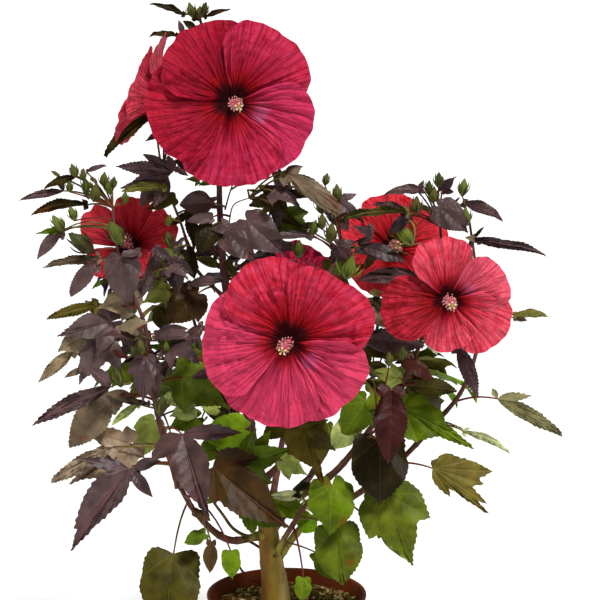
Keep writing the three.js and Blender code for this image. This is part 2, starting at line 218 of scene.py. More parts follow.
# Thin side shoots: the places they run through from the foot (mm), and their radius at the foot
# and at the tip (mm). Those that are thicker at the foot than THICK_SHOOT are olive, the others
# red.
SIDE_SHOOTS = (
    (
        ((-29, -2, 236), (-48, -2, 236), (-62, -2, 244), (-76, -2, 263), (-87, -2, 279),
         (-94, -2, 296)),
        2.4, 1.4,
    ),
    (((-26, -4, 218), (-41, -4, 228), (-53, -4, 234)), 1.6, 1.8),
    (((-15, -12, 213), (-6, -12, 228), (4, -12, 244), (14, -12, 260), (22, -12, 275)), 2.4, 1.6),
    (((-25, 14, 171), (-42, 14, 176), (-53, 14, 187), (-61, 14, 201)), 1.7, 1.3),
    (((-70, -4, 625), (-66, -4, 640), (-61, -4, 655)), 1.1, 0.8),
    (((-66, -4, 607), (-59, -4, 632), (-42, -4, 639)), 0.9, 0.6),
    (((-141, -6, 658), (-132, -6, 640), (-124, -6, 621)), 1.1, 0.9),
    (((-118, -8, 600), (-110, -8, 583), (-101, -8, 558)), 1.2, 1.1),
    (((-92, -4, 587), (-82, -4, 574), (-72, -4, 560)), 1.1, 0.9),
)
THICK_SHOOT = 2


def both(angle, length, half):
    """A lobe to the left of the middle rib, and its like to the right."""
    return (angle, length, half), (-angle, length, half)


# Leaf shapes: each lobe's direction from the middle rib (degrees), and its length and half
# width as shares of the leaf's length.
SHAPES = {
    "palm": ((0, 1, 0.18), *both(46, 0.76, 0.14), *both(98, 0.42, 0.1)),
    "trident": ((0, 1, 0.1), (0, 0.8, 0.19), *both(58, 0.6, 0.13)),
    "broad": ((0, 1, 0.1), (0, 0.84, 0.24), *both(50, 0.62, 0.17), *both(108, 0.26, 0.14)),
    "maple": ((0, 1, 0.12), (0, 0.84, 0.28), *both(42, 0.7, 0.22), *both(104, 0.34, 0.2)),
    "ovate": ((0, 1, 0.1), (0, 0.88, 0.36), *both(48, 0.46, 0.22)),
    "egg": ((0, 1, 0.1), (0, 0.9, 0.34), *both(46, 0.42, 0.2)),
    "heart": ((0, 1, 0.12), (0, 0.88, 0.34), *both(46, 0.48, 0.23), *both(86, 0.26, 0.14)),
    "round": ((0, 1, 0.24), (0, 0.88, 0.42), *both(48, 0.54, 0.28), *both(92, 0.31, 0.17)),
    "dripping": ((0, 1, 0.08), (0, 0.68, 0.3), *both(42, 0.44, 0.2), *both(100, 0.24, 0.18)),
    "tailed": (
        (0, 1, 0.08), (0, 0.6, 0.24), (38, 0.5, 0.18), (-38, 0.46, 0.2), *both(100, 0.2, 0.15),
    ),
    "three_tipped": (
        (0, 1, 0.1), (0, 0.86, 0.23), (41, 0.65, 0.22), (68, 0.42, 0.18), (-40, 0.6, 0.24),
        (-90, 0.3, 0.2),
    ),
    "shouldered": (
        (0, 1, 0.05), (6, 0.92, 0.1), (21, 0.74, 0.14), (33, 0.82, 0.16), (54, 0.44, 0.16),
        (-19, 0.45, 0.08), (92, 0.16, 0.08),
    ),
    "swept": ((0, 1, 0.08), (0, 0.86, 0.21), (56, 0.45, 0.13), (-46, 0.36, 0.16)),
    "winged": ((0, 1, 0.09), (0, 0.8, 0.19), (48, 0.6, 0.14), (-36, 0.42, 0.14)),
    "spear": ((0, 1, 0.1), (0, 0.86, 0.19), (-70, 0.43, 0.11), (75, 0.64, 0.09)),
    "drooping": (
        (0, 1, 0.06), (-2, 0.93, 0.11), (-7, 0.84, 0.15), (-69, 0.49, 0.06), (60, 0.14, 0.08),
    ),
    "elliptic": ((0, 1, 0.15), *both(64, 0.18, 0.09)),
    "blade": ((0, 1, 0.2), *both(50, 0.3, 0.12)),
    "lance": ((0, 1, 0.11), *both(56, 0.14, 0.06)),
    "sickle": ((0, 1, 0.11), (70, 0.34, 0.09)),
    "ribbon": ((0, 1, 0.12), (34, 0.44, 0.08), (150, 0.15, 0.05)),
}


class Leaf(NamedTuple):
    """A leaf of a mass. The middle lobe runs from where it joins its stalk to its tip."""

    across: float  # where it joins its stalk, as a share of the mass's box from its left
    height: float  # and from its foot
    clock: float  # the hour that its middle lobe points to, seen from the front
    length: float  # of the middle lobe, mm
    shape: str  # the row of SHAPES
    face: float = 60  # how far its upper side turns from up to the front, degrees
    tone: str = None  # the row of TONES, where it isn't that of the mass's own solid
    width: float = 1.0  # times the shape's own
    lean: float = 4  # how far it points forwards, degrees
    depth: float = 0.35  # where it joins its stalk, as a share of the box from its front
    curl: float = 30  # how far its tip is bent down, degrees
    flip: bool = False  # whether it is the shape's mirror image
    stem: tuple = None  # where its stalk leaves the wood, across and up, as shares of the box


class Bud(NamedTuple):
    """A bud of a mass, placed as a leaf is, by its middle."""

    across: float
    height: float
    clock: float
    length: float
    depth: float = 0.2
    is_open: bool = False
    young: bool = False


class Mass(NamedTuple):
    """What grows in a mass: the leaves that give it its outline, its buds, and how many more
    leaves its shoot carries."""

    leaves: list = []
    buds: list = []
    more: int = 0


MASSES = {
    "leaves_top": Mass(leaves=[
        Leaf(0.44, 0.46, 9.5, 42, "lance", 50, "dark", width=0.9),
        Leaf(0.68, 0.36, 2.5, 33, "lance", 50, "dark", width=1.1),
        Leaf(0.42, -0.36, 11.4, 17, "blade", 70, "purple"),
        Leaf(0.36, -0.44, 8.9, 34, "lance", 50, "dark"),
        Leaf(0.58, 0.24, 11.1, 20, "blade", 70, "dark"),
        Leaf(0.58, -0.18, 10.1, 19, "blade", 70, "dark", width=1.2),
    ], buds=[
        Bud(0.52, 0.68, 11.8, 18), Bud(0.68, 0.72, 0.4, 17), Bud(0.62, 0.58, 0.1, 15),
    ]),
    "leaves_side_bloom": Mass(leaves=[
        Leaf(0.42, 0.64, 7.6, 70, "sickle", 60, "dark", width=0.8, curl=70),
        Leaf(0.5, 0.36, 8, 24, "lance", 60, "purple", width=1.5),
        Leaf(0.58, 0.28, 7.5, 19, "blade", 60, "russet"),
        Leaf(0.62, -0.14, 4.6, 19, "blade", 60, "purple"),
    ]),
    "leaves_right_upper": Mass(more=1, leaves=[
        Leaf(0.66, 0.86, 5.4, 26, "blade", 85, width=1.2, stem=(0.09, 0.54)),
        Leaf(0.7, 0.44, 8.4, 38, "palm", 78, "dark", width=1.2),
        Leaf(0.7, 0.44, 2.8, 37, "lance", 60, "dark"),
        Leaf(0.74, 0.78, 2.1, 26, "blade", width=1.2),
        Leaf(0.66, 0.3, 5.1, 26, "blade", 70, "dark", width=1.3),
        Leaf(0.66, 0.36, 5.9, 34, "blade", 75, "purple"),
        Leaf(0.66, 0.1, 3.8, 33, "lance", 60, "dark", width=1.3),
        Leaf(1.1, 0.46, 8.8, 32, "lance", 60, "dark", width=1.2),
        Leaf(0.94, -0.1, 2.9, 28, "lance", 60, "purple", width=1.3),
        Leaf(-0.36, 0.14, 5.8, 46, "trident", 76, "dark", width=0.8, depth=0.6),
        Leaf(-0.06, -0.54, 8.5, 29, "lance", 60, "purple", width=1.5, depth=0.6),
        Leaf(-0.02, -0.84, 9.6, 31, "lance", 60, "green_bronze", width=1.8, depth=0.8),
        Leaf(0.32, -0.54, 8.2, 28, "lance", 60, "dark", width=1.6, depth=0.5),
        Leaf(-0.08, 0.32, 8.9, 40, "elliptic", 75, "purple", width=2.4),
        Leaf(-0.24, 0.72, 9, 17, "trident", 66, "green_bronze"),
        Leaf(-0.24, 0.64, 2.9, 17, "lance", 66, "green", width=1.5),
        Leaf(0.32, 0.54, 3.3, 16, "lance", 60, "green"),
    ]),
    "leaves_arch": Mass(leaves=[
        Leaf(-0.18, 0.94, 4.3, 83, "elliptic", 68, "bronze", width=0.84, curl=60),
        Leaf(0.82, 0.34, 4.3, 42, "trident", 66, "purple", width=0.9),
        Leaf(-0.3, 0.98, 5, 23, "lance", 60, "green_bronze"),
    ], buds=[
        Bud(0.6, 0.84, 0.2, 15), Bud(0.82, 0.54, 0.4, 21), Bud(0.48, 0.26, 11.9, 21),
    ]),
    "leaves_leader": Mass(more=1, leaves=[
        Leaf(0.68, 0.82, 4.4, 60, "heart", 82, width=0.9),
        Leaf(0.48, 0.68, 4.5, 49, "heart", 80, width=0.9),
        Leaf(0.52, 0.72, 8.9, 27, "broad", 74, width=0.9),
        Leaf(0.34, 0.76, 6.9, 41, "heart", 80, "dark", width=0.85),
        Leaf(0.34, 0.86, 8.7, 30, "blade", 70, width=1.1),
        Leaf(1.32, 0.62, 8.7, 55, "lance", 40, width=1.2),
        Leaf(1.48, 0.98, 4.7, 41, "blade", 70, "purple", width=1.3, depth=0.9),
        Leaf(0.48, 0.3, 5.1, 26, "blade", 75, "dark"),
        Leaf(0.94, 1, 8, 18, "blade", 70, "dark"),
    ], buds=[
        Bud(1.2, 0.48, 11.7, 23),
    ]),
    "leaves_upper_left": Mass(leaves=[
        Leaf(0.8, 0.82, 9.2, 65, "sickle", 75, width=1.15, flip=True),
        Leaf(0.74, 0.72, 8.6, 57, "winged", 78),
        Leaf(0.62, 0.66, 7.3, 37, "blade", 80, width=1.3),
        Leaf(0.84, 0.38, 8.3, 37, "blade", 70, "dark"),
        Leaf(0.72, 0.58, 8.8, 52, "lance", 50, "green_bronze", width=0.9, depth=0.1),
        Leaf(0.84, 0.88, 4, 17, "blade", 70),
        Leaf(0.74, 0.88, 10, 34, "lance", 75, width=1.4),
    ]),
    "leaves_left_top": Mass(leaves=[
        Leaf(0.42, 0.56, 8.6, 53, "sickle", 66, "purple", width=0.8, flip=True),
        Leaf(0.54, 0.9, 8.3, 42, "sickle", 62, "dark", flip=True),
        Leaf(0.62, 1, 2.5, 25, "lance", width=1.1),
        Leaf(0.66, 0.86, 4.4, 10, "blade", width=1.2),
        Leaf(0.62, 0.24, 8.6, 64, "lance", 50, "dark", width=0.8, curl=60),
        Leaf(0.6, 0.7, 5.5, 18, "blade", 80, "purple", width=0.9),
        Leaf(0.38, 0.9, 10.1, 11, "blade", 60, "green_bronze"),
    ], buds=[
        Bud(0.52, 1.06, 11.8, 17), Bud(0.48, 0.7, 11.9, 15), Bud(0.6, 0.98, 0.1, 14),
        Bud(0.62, 0.72, 11.7, 19), Bud(0.7, 0.56, 11.9, 23), Bud(0.78, 0.86, 0.2, 18),
        Bud(0.82, 0.68, 11.8, 18), Bud(0.86, 0.78, 0.4, 15), Bud(0.96, 0.44, 0.5, 15),
    ]),
    "leaves_left_high": Mass(leaves=[
        Leaf(0.44, 0.92, 8.8, 33, "lance", 50, "green"),
        Leaf(0.4, 0.94, 7.3, 44, "blade", 70, "mauve", width=0.8, curl=50),
        Leaf(0.94, 0.58, 8.7, 69, "lance", 60, "bronze", width=0.7),
        Leaf(0.86, 0.54, 7.2, 51, "blade", 80, width=0.86),
        Leaf(1.02, 0.32, 7.9, 22, "lance", 60, "green"),
    ], buds=[
        Bud(0.38, 1.04, 11.2, 23, young=True), Bud(0.58, 1.16, 11.4, 18, young=True),
        Bud(0.68, 0.8, 10.6, 36), Bud(1.22, 1.02, 11.5, 31, depth=-0.6),
    ]),
    "leaves_left_inner": Mass(more=1, leaves=[
        Leaf(0.2, 0.86, 5.7, 62, "heart", 84, "mauve", width=0.85, depth=0.1),
        Leaf(0.66, 0.92, 6.8, 51, "lance", 78, "mauve", width=1.1),
        Leaf(0.82, 0.76, 5.7, 42, "broad", 80),
        Leaf(0.34, 0.24, 8.5, 44, "broad", 70, "pale", width=1.3, depth=0.3),
        Leaf(0.22, 0.18, 6.7, 25, "blade", 80, "bronze", width=1.3, depth=0.6),
        Leaf(0.72, 0.28, 8.1, 36, "broad", 72, "lime", width=1.1, depth=0.9),
        Leaf(0.7, 0.04, 7.7, 30, "blade", 72, "lime", width=1.1, depth=0.9),
        Leaf(0.6, 0.06, 5.4, 32, "blade", 78, "dark", width=1.6, depth=0.8),
        Leaf(0.6, -0.26, 2.7, 39, "lance", 60, "purple", width=1.6, depth=0.2),
        Leaf(0.8, 0.82, 7, 48, "broad", 74, "green_bronze", width=0.8, depth=0.6),
        Leaf(1.08, 0.22, 7.6, 56, "round", 80, "umber", width=0.74, depth=0.9),
        Leaf(1.18, -0.6, 7.5, 56, "heart", 76, "moss", width=0.95, depth=0.9),
        Leaf(0.96, 0.9, 5.5, 36, "blade", 76, "dark", width=1.2, depth=0.7),
        Leaf(0.44, 0.94, 8.5, 24, "blade", depth=0.1),
        Leaf(0.6, 1, 4.3, 26, "blade", depth=0.1),
        Leaf(0.98, 0.38, 2.8, 44, "lance", 60, "purple", width=1.3, depth=0.7),
    ], buds=[
        Bud(0.78, 1.38, 0.1, 15), Bud(0.78, 1.1, 11.7, 21),
    ]),
    "leaves_left_mid": Mass(more=1, leaves=[
        Leaf(0.56, 1.06, 8.5, 61, "elliptic", 70, "khaki", width=0.66, curl=50),
        Leaf(0.68, 0.86, 8.5, 63, "broad", 72, "mauve", width=0.9),
        Leaf(0.64, 0.7, 7, 71, "broad", 78, "mauve", width=0.85),
        Leaf(0.44, 0.68, 8, 37, "broad", 72, "bronze", width=1.3),
        Leaf(0.34, 0.5, 7.6, 56, "elliptic", 72, "pale", width=0.85),
        Leaf(0.44, 0.28, 8.2, 27, "lance", 70, "bronze", width=1.2),
        Leaf(0.94, 0.84, 8.1, 35, "broad", 60, "bronze", width=1.1),
    ]),
    "leaves_left_dark": Mass(leaves=[
        Leaf(0.66, 0.7, 8.2, 102, "sickle", 66, width=0.84, lean=14, depth=0.55, curl=50, flip=True),
    ]),
    "leaves_left_buds": Mass(more=1, leaves=[
        Leaf(0.28, 0.72, 9.1, 36, "lance", 30, width=1.7),
        Leaf(0.5, 0.72, 3.1, 46, "lance", 30, width=1.7),
        Leaf(0.4, 0.44, 6.1, 53, "heart", 84, width=0.7),
        Leaf(0.48, 0.38, 5.7, 38, "blade", 80, "purple"),
        Leaf(0.96, 0.7, 5.1, 15, "blade", 70),
        Leaf(0.66, 0.44, 9.6, 28, "lance", 60, "green", width=1.4, depth=0.8),
        Leaf(0.78, 0.06, 4.1, 69, "broad", 74, "moss", width=1.1, depth=0.9),
        Leaf(1.04, 0.88, 7.5, 38, "elliptic", 74, "purple", width=1.3, depth=0.5),
        Leaf(1.16, 0.22, 8.5, 28, "blade", 70, "purple", depth=0.5),
        Leaf(0.2, 0.44, 9.6, 24, "lance", 50, "russet", width=1.4),
        Leaf(0.1, 0.84, 2.5, 38, "lance", 60, "bronze", width=1.6),
    ], buds=[
        Bud(0.1, 0.2, 11.8, 24), Bud(0.36, 0.64, 11.8, 19), Bud(0.28, 0.56, 11.4, 15),
        Bud(0.64, 0.62, 0.4, 15), Bud(0.58, -0.2, 0.3, 24),
    ]),
    "leaves_left_bronze": Mass(leaves=[
        Leaf(0.62, 0.92, 7.3, 79, "blade", 76, "bronze", width=1.2),
        Leaf(0.82, 0.9, 9.4, 33, "lance", 60, "bronze", width=1.8),
        Leaf(0.78, 0.42, 7.9, 87, "broad", 74, "pale", width=0.8),
        Leaf(0.64, 0.42, 8, 87, "elliptic", 72, "pale", width=0.7, depth=0.2),
        Leaf(0.86, 0.84, 7.7, 41, "lance", 60, "lime", width=1.1),
        Leaf(0.96, 0.84, 9.2, 37, "lance", 60, "bronze", width=0.9),
    ]),
    "leaves_left_low": Mass(leaves=[
        Leaf(0.62, 0.78, 7.2, 115, "drooping", 76, width=1.05, lean=10, depth=0.5, curl=34),
        Leaf(0.64, 0.78, 4.7, 40, "blade", 70, width=0.9, depth=0.4),
        Leaf(0.68, 0.8, 2.4, 33, "lance", width=1.9, depth=0.4),
    ]),
    "leaves_left_front": Mass(leaves=[
        Leaf(0.56, 0.7, 5.4, 101, "spear", 82, lean=12, curl=40),
    ]),
    "leaves_front": Mass(leaves=[
        Leaf(0.1, 0.68, 4.3, 113, "swept", 76, "umber", lean=6, depth=0.4),
    ]),
    "leaves_inner": Mass(more=2, leaves=[
        Leaf(0.32, 0.4, 6.9, 56, "heart", 80, "lime", width=0.78),
        Leaf(0.54, 0.72, 8.7, 31, "heart", 76, "lime", width=0.95),
        Leaf(0.6, 0.56, 8.4, 30, "heart", 72, "lime"),
        Leaf(0.78, 0.56, 9.4, 23, "heart", 72, "lime"),
        Leaf(0.62, 0.44, 8.3, 38, "maple", 70, "green"),
        Leaf(0.98, 0.32, 8.7, 59, "heart", 74, "bright", width=0.95, depth=0.2),
        Leaf(0.92, 0.24, 7.8, 32, "round", 74, "bright", depth=0.2),
        Leaf(0.78, 0.2, 7, 38, "egg", 74, "green", depth=0.3),
        Leaf(0.86, 0.44, 10.7, 46, "maple", 70, "dark", depth=0.9),
        Leaf(0.44, 0.1, 5.6, 37, "blade", 74, "green_bronze", depth=0.8),
        Leaf(0.82, -0.44, 7.6, 33, "heart", 74, "green", depth=0.9),
    ]),
    "leaves_centre_low": Mass(leaves=[
        Leaf(0.38, 0.84, 5.4, 79, "dripping", 84, "olive", lean=8),
        Leaf(0.36, 0.78, 4.1, 47, "broad", 78, "dark", width=1.1),
        Leaf(0.78, 0.76, 5.3, 27, "blade", 78, "green", depth=0.8),
        Leaf(-0.64, 0.3, 2.4, 67, "broad", 76, "green", width=0.8, depth=0.5),
        Leaf(-0.48, 0.3, 1, 45, "blade", 76, "green", depth=0.6),
        Leaf(0.12, 0.8, 7.8, 43, "broad", 74, "olive", width=1.1, depth=0.8),
    ]),
    "leaves_fork": Mass(more=1, leaves=[
        Leaf(-0.02, 0.44, 3.8, 56, "broad", 72, "green", width=0.95),
        Leaf(0.34, 0.64, 3.8, 51, "blade", 70, "green", width=1.2),
        Leaf(0.76, 0.86, 9, 37, "elliptic", 80, "cream", width=1.1, depth=0.1),
        Leaf(0.52, 1.62, 4, 33, "maple", 70, "lime", width=0.9),
        Leaf(0.8, 0.16, 4.3, 23, "round", 74, "bright", width=1.3),
        Leaf(-0.34, 1, 7.5, 31, "blade", 70, "green"),
        Leaf(0.82, 0.6, 5.1, 13, "round", 70, "lime"),
    ]),
    "leaves_under_right": Mass(leaves=[
        Leaf(0, 0.62, 3.2, 75, "elliptic", 74, "purple", width=1.2),
        Leaf(0.02, 0.48, 3.7, 46, "broad", 74, "dark", width=0.9),
        Leaf(0.1, 1.44, 4.4, 47, "broad", 74, "bronze", width=0.9),
        Leaf(0.18, 1.58, 4.3, 29, "blade", 70, "dark"),
        Leaf(1.02, 0.58, 4.6, 24, "lance", 60, "cream", width=1.2),
        Leaf(0.96, 0.04, 3.3, 20, "lance", 50, "green_bronze"),
    ]),
    "leaves_right_point": Mass(leaves=[
        Leaf(0.26, 1.04, 5.3, 65, "elliptic", 78, width=0.9),
        Leaf(1.88, 1.58, 3.1, 40, "lance", 50, "green_bronze", width=1.2, depth=0.8),
        Leaf(1.88, 1.52, 3.4, 16, "blade", 60, "bronze", depth=0.8),
    ]),
    "leaves_russet": Mass(leaves=[
        Leaf(0.56, 0.78, 6.1, 85, "elliptic", 84, "russet", width=1.4, lean=12, depth=0.3),
        Leaf(0.68, 1.06, 4.1, 45, "lance", 50, width=1.6, curl=60),
        Leaf(0.72, 0.78, 9.5, 38, "broad", 66, "lime", width=0.8, depth=1),
        Leaf(0.46, 0.84, 10.2, 25, "heart", 66, "green_bronze", depth=1),
        Leaf(0.32, 0.6, 7.3, 21, "heart", 74, "green", depth=0.9),
        Leaf(0.12, 0.56, 7.1, 55, "round", 76, "green", width=0.8, depth=0.9),
        Leaf(-0.12, 0.32, 7.3, 41, "heart", 76, "lime", depth=0.9),
    ], buds=[
        Bud(0.74, 1.16, 0.1, 17), Bud(0.5, 1.1, 0.1, 17), Bud(0.2, 0.96, 11.6, 12),
    ]),
    "leaves_right": Mass(leaves=[
        Leaf(0.12, 0.68, 4, 97, "tailed", 74, "green", width=1.1),
        Leaf(0.16, 1, 3.2, 59, "elliptic", 64, "green_bronze", width=1.15),
        Leaf(0.4, 0.98, 5.1, 31, "blade", 74, "bronze", width=0.9),
        Leaf(0.82, 0.34, 3.9, 62, "lance", 46, "cream", width=0.7, curl=50),
        Leaf(0.72, 0.42, 4.3, 17, "lance", 46, "lime"),
        Leaf(0.22, 1.14, 3.2, 19, "blade", 60, "russet"),
    ]),
    "leaves_far_right": Mass(leaves=[
        Leaf(0.32, 0.82, 4, 91, "ribbon", 66, "reed", width=0.8, lean=2, curl=40, stem=(-0.11, 0.76)),
    ]),
    "leaves_right_side": Mass(leaves=[
        Leaf(0.22, 0.74, 4.3, 87, "shouldered", 76, "khaki", stem=(-0.07, 0.75)),
    ]),
    "leaves_right_low": Mass(leaves=[
        Leaf(0.4, 1, 6, 79, "ovate", 84, "dark", width=1.05, lean=6, depth=0.3),
        Leaf(0.5, 0.58, 5.3, 90, "three_tipped", 84, "moss", width=1.05, lean=8),
        Leaf(0.42, 0.26, 4.5, 45, "lance", 60, "lime", depth=0.45),
    ]),
    "leaves_low_right": Mass(leaves=[
        Leaf(0.48, 0.96, 6.1, 59, "round", 84, width=1.04, depth=0.3),
        Leaf(0.56, 0.56, 5.8, 72, "ovate", 84, "moss", width=0.98, depth=0.5),
        Leaf(0.22, 0.28, 4.9, 37, "blade", 70, "green", width=1.5, depth=0.8),
        Leaf(0, 0.16, 6.1, 29, "egg", 80, "green", width=0.95, depth=0.1, stem=(0.14, 0.52)),
    ]),
    "leaves_low_left": Mass(leaves=[
        Leaf(0.54, 0.68, 6.2, 93, "egg", 82, "olive", lean=12, depth=0.4, stem=(0.98, 1.06)),
        Leaf(1.3, 0.9, 8.2, 26, "blade", 70, "green", width=1.6, depth=0.2, stem=(1.6, 0.87)),
        Leaf(1.44, 0.82, 6.1, 36, "elliptic", 80, "umber", width=1.5, depth=0.2, stem=(1.6, 0.87)),
        Leaf(1.9, 0.76, 5.9, 35, "egg", 82, "green", width=0.9, depth=0.1, stem=(1.52, 1.2)),
        Leaf(1.06, 1.12, 4, 22, "blade", 60, "umber", width=1.3, depth=0.1, stem=(1.06, 1.12)),
    ]),
    "leaves_right_top": Mass(leaves=[
        Leaf(0.32, 0.92, 8.7, 47, "lance", 50, width=1.3, depth=0.3),
        Leaf(0.64, 0.72, 3.9, 52, "lance", 58, width=1.2, depth=0.3, curl=50),
        Leaf(0.44, 0.66, 4.4, 47, "heart", 72, "purple", width=0.95, depth=0.2),
        Leaf(0.48, 0.9, 1.5, 24, "broad", 60, "purple", depth=0.4),
        Leaf(0.18, 0.6, 9.3, 41, "lance", 50, width=1.1, depth=0.2),
        Leaf(0.2, 0.58, 8.6, 84, "lance", 40, "green_bronze", width=0.55, depth=0.1, curl=50),
        Leaf(0.2, 0.52, 7.5, 33, "blade", 70, depth=0.2),
        Leaf(0.28, 0.68, 3.9, 18, "blade", 60, "dark", depth=0.2),
        Leaf(0.56, 0.68, 1.5, 13, "lance", 60, "russet", depth=0.3),
        Leaf(0.28, 0.88, 0.8, 16, "blade", 60, "purple", depth=0.3),
    ], buds=[
        Bud(0.36, 0.98, 11.8, 17), Bud(0.44, 1.1, 0.1, 19), Bud(0.4, 0.86, 0.1, 20),
        Bud(0.64, 0.98, 0.3, 21, young=True), Bud(0.66, 0.5, 0.2, 23, young=True),
        Bud(0.26, 0.68, 0.1, 24), Bud(0.16, 0.22, 11, 33, is_open=True),
    ]),
    "leaves_right_long": Mass(leaves=[
        Leaf(-0.04, 0.72, 3.4, 91, "lance", 52, "purple", width=0.62, curl=40),
        Leaf(0.1, 0.7, 9.5, 20, "blade", 60, "bronze"),
        Leaf(0.02, 0.84, 1.3, 18, "lance", 60, "dark"),
    ]),
    "leaves_middle": Mass(leaves=[
        Leaf(0.22, 0.66, 4.5, 34, "broad", 80, "purple"),
        Leaf(0.46, 0.64, 3.6, 57, "elliptic", 66, "purple", width=1.1),
        Leaf(1.1, 0.12, 8.9, 71, "elliptic", 60, "purple", width=0.95),
        Leaf(0.22, 1.1, 2.3, 19, "lance", 40, "russet", width=1.2),
        Leaf(0.6, 0.82, 9.8, 28, "trident", 60, "purple"),
        Leaf(0.54, 0.52, 3.1, 50, "lance", 40, "green_bronze", width=0.5),
        Leaf(-0.36, 1.1, 4.4, 47, "broad", 74, "moss", width=1.1, depth=0.9),
        Leaf(0.16, 0.28, 4.7, 39, "broad", 74, "moss", depth=0.9),
        Leaf(0.62, -0.2, 4.9, 17, "blade", 72, "green_bronze", depth=0.9),
        Leaf(0.64, 0.52, 6.9, 26, "blade", 72, "dark", depth=0.7),
    ], buds=[
        Bud(-0.02, 0.98, 11.8, 18), Bud(0.06, 1.08, 0.1, 18), Bud(0.16, 0.9, 0.1, 24),
        Bud(0.36, 0.32, 0.2, 29, is_open=True),
    ]),
    "leaves_back_high": Mass(more=13),
    "leaves_back_left_high": Mass(more=13, buds=[
        Bud(0.3, 0.95, 11.5, 20), Bud(0.5, 0.95, 0.2, 18),
    ]),
    "leaves_back_left": Mass(more=13),
    "leaves_back": Mass(more=15),
    "leaves_back_right_high": Mass(more=13, buds=[
        Bud(0.6, 0.95, 0.3, 20), Bud(0.75, 0.9, 0.6, 18),
    ]),
    "leaves_back_right": Mass(more=13),
}

# Leaf tones: the shades dealt out among the leaves, the colour of their ribs, and how rough and
# how shiny they are.
TONES = {
    "purple": (("#46302e", "#523e3c", "#382627", "#4a3636"), "#6a3a42", 0.42, 0.22),
    "mauve": (("#54403e", "#604c4a", "#4a3836"), "#74484e", 0.44, 0.22),
    "dark": (("#2c2303", "#382f08", "#231b04"), "#4a4010", 0.48, 0.1),
    "olive": (("#403a0a", "#4a400e"), "#5c541a", 0.5, 0.1),
    "moss": (("#4c580a", "#566010", "#424c08"), "#6a6e28", 0.5, 0.1),
    "russet": (("#32100a", "#3c180e"), "#54201a", 0.45, 0.12),
    "umber": (("#3e2a0c", "#4a3616"), "#5c302a", 0.46, 0.12),
    "bronze": (("#6a5a44", "#786850", "#5a4c38"), "#86625c", 0.5, 0.18),
    "pale": (("#907a60", "#9c886e", "#827052"), "#987068", 0.5, 0.18),
    "khaki": (("#60561a", "#565e18"), "#7e7038", 0.5, 0.12),
    "reed": (("#76744a", "#827c56"), "#8a6a5a", 0.5, 0.14),
    "green_bronze": (("#5c5a1c", "#6a662a", "#504a18"), "#7e7246", 0.5, 0.14),
    "green": (("#566a04", "#62740a", "#4a5c06"), "#7c8a30", 0.5, 0.1),
    "bright": (("#6a8e04", "#789a0c"), "#90a634", 0.5, 0.1),
    # lime and cream are painted light: pale greens standing in for light shining through thin backlit
    # leaves.
    "lime": (("#98a44a", "#acb866"), "#b6be78", 0.5, 0.14),
    "cream": (("#c0c48c", "#d0d2a4"), "#c8c890", 0.5, 0.14),
}
# The tones that a mass's shoot deals out, by the colour of the mass's solid.
MIXTURES = {
    "leaf_purple": ("purple", "purple", "purple", "dark"),
    "leaf_bronze": ("bronze", "green_bronze", "purple", "green"),
    "leaf_green": ("green", "green", "bright", "green_bronze", "dark"),
    "leaf_dark": ("dark", "purple", "green_bronze"),
    "leaf_russet": ("russet", "umber", "green"),
}
# The colour of the solids that each other tone of leaf belongs with.
TONE_HOMES = {
    "umber": "leaf_russet", "green_bronze": "leaf_bronze", "bright": "leaf_green",
    "lime": "leaf_green", "olive": "leaf_dark", "moss": "leaf_dark", "cream": "leaf_green",
    "mauve": "leaf_purple", "khaki": "leaf_green", "pale": "leaf_bronze", "reed": "leaf_bronze",
}
RUST = "#7c2c0a"  # the spots on the leaves

# The dyes of the petals: the body, its paler bloom, the veins, the eye, the painted sheen (a painted
# reflection by the eye), the body of the rosy petals (pinker and painted lighter as if lit) and
# the body of the deep petals (painted darker as shade).
DYES = {
    "crimson": ("#ac0c2e", "#c43058", "#660414", "#40000a", "#b494c8", "#be2450", "#960a26"),
    "rose": ("#b60a24", "#ce3a5c", "#6c0412", "#46000a", "#b07ac0", "#c83256", "#aa0c24"),
    "scarlet": ("#d01a2a", "#dc3c48", "#7c0812", "#360006", "#8a5f94", "#cc2838", "#a80e1a"),
    "coral": ("#d62c42", "#e45e72", "#8a1020", "#46000c", "#b090d2", "#dc465e", "#900e1a"),
    # lit_coral is a paler copy of coral, painted lighter as if lit, for the bloom that is turned away
    # from the key light.
    "lit_coral": ("#e62e48", "#f46078", "#a0142c", "#46000c", "#b090d2", "#e63c58", "#c42440"),
}
EYE_RING = "#a2000c"  # the red round the eye

# The order of the finishes in the pieces that have several.
CRUMB_FINISHES, CHIP_FINISHES = (0, 2), (2, 5)
GREEN_FOOT, PURPLE_BROWN = range(2)
TWIG_BROWN, STALK_RED, STALK_OLIVE = range(3)
BUD_GREEN, BUD_STRIPED, BUD_DARK, BRACT_GREEN, BRACT_DARK, BUD_YOUNG, BRACT_LIME = range(7)
COLUMN, THREAD, POLLEN, ARM, PAD = range(5)
SEPAL, BLOOM_BRACT, BLOOM_STALK = range(3)
# Petal finishes: plain, a painted reflection by the eye, rosy painted lighter as if lit, and deep
# painted darker as shade.
PLAIN, PAINTED_SHEEN, LIT_ROSY, SHADED_DEEP = range(4)


# ---------------------------------------------------------------- shapes

def unit(vectors):
    return vectors / np.linalg.norm(vectors, axis=-1, keepdims=True)


def corners_of(node):
    """The corners of a solid of the frame, each once."""
    vertices = frame["nodes"][node].data.vertices
    flat = np.empty(len(vertices) * 3)
    vertices.foreach_get("co", flat)
    return np.unique(np.round(flat.reshape(-1, 3), 6), axis=0)


def angles_round(sides):
    """Even angles all the way round, as one row."""
    return np.linspace(0, math.tau, sides, endpoint=False)[None, :]


def spoke(angle, side, over):
    """The direction at an angle from side towards over."""
    return math.cos(angle) * side + math.sin(angle) * over


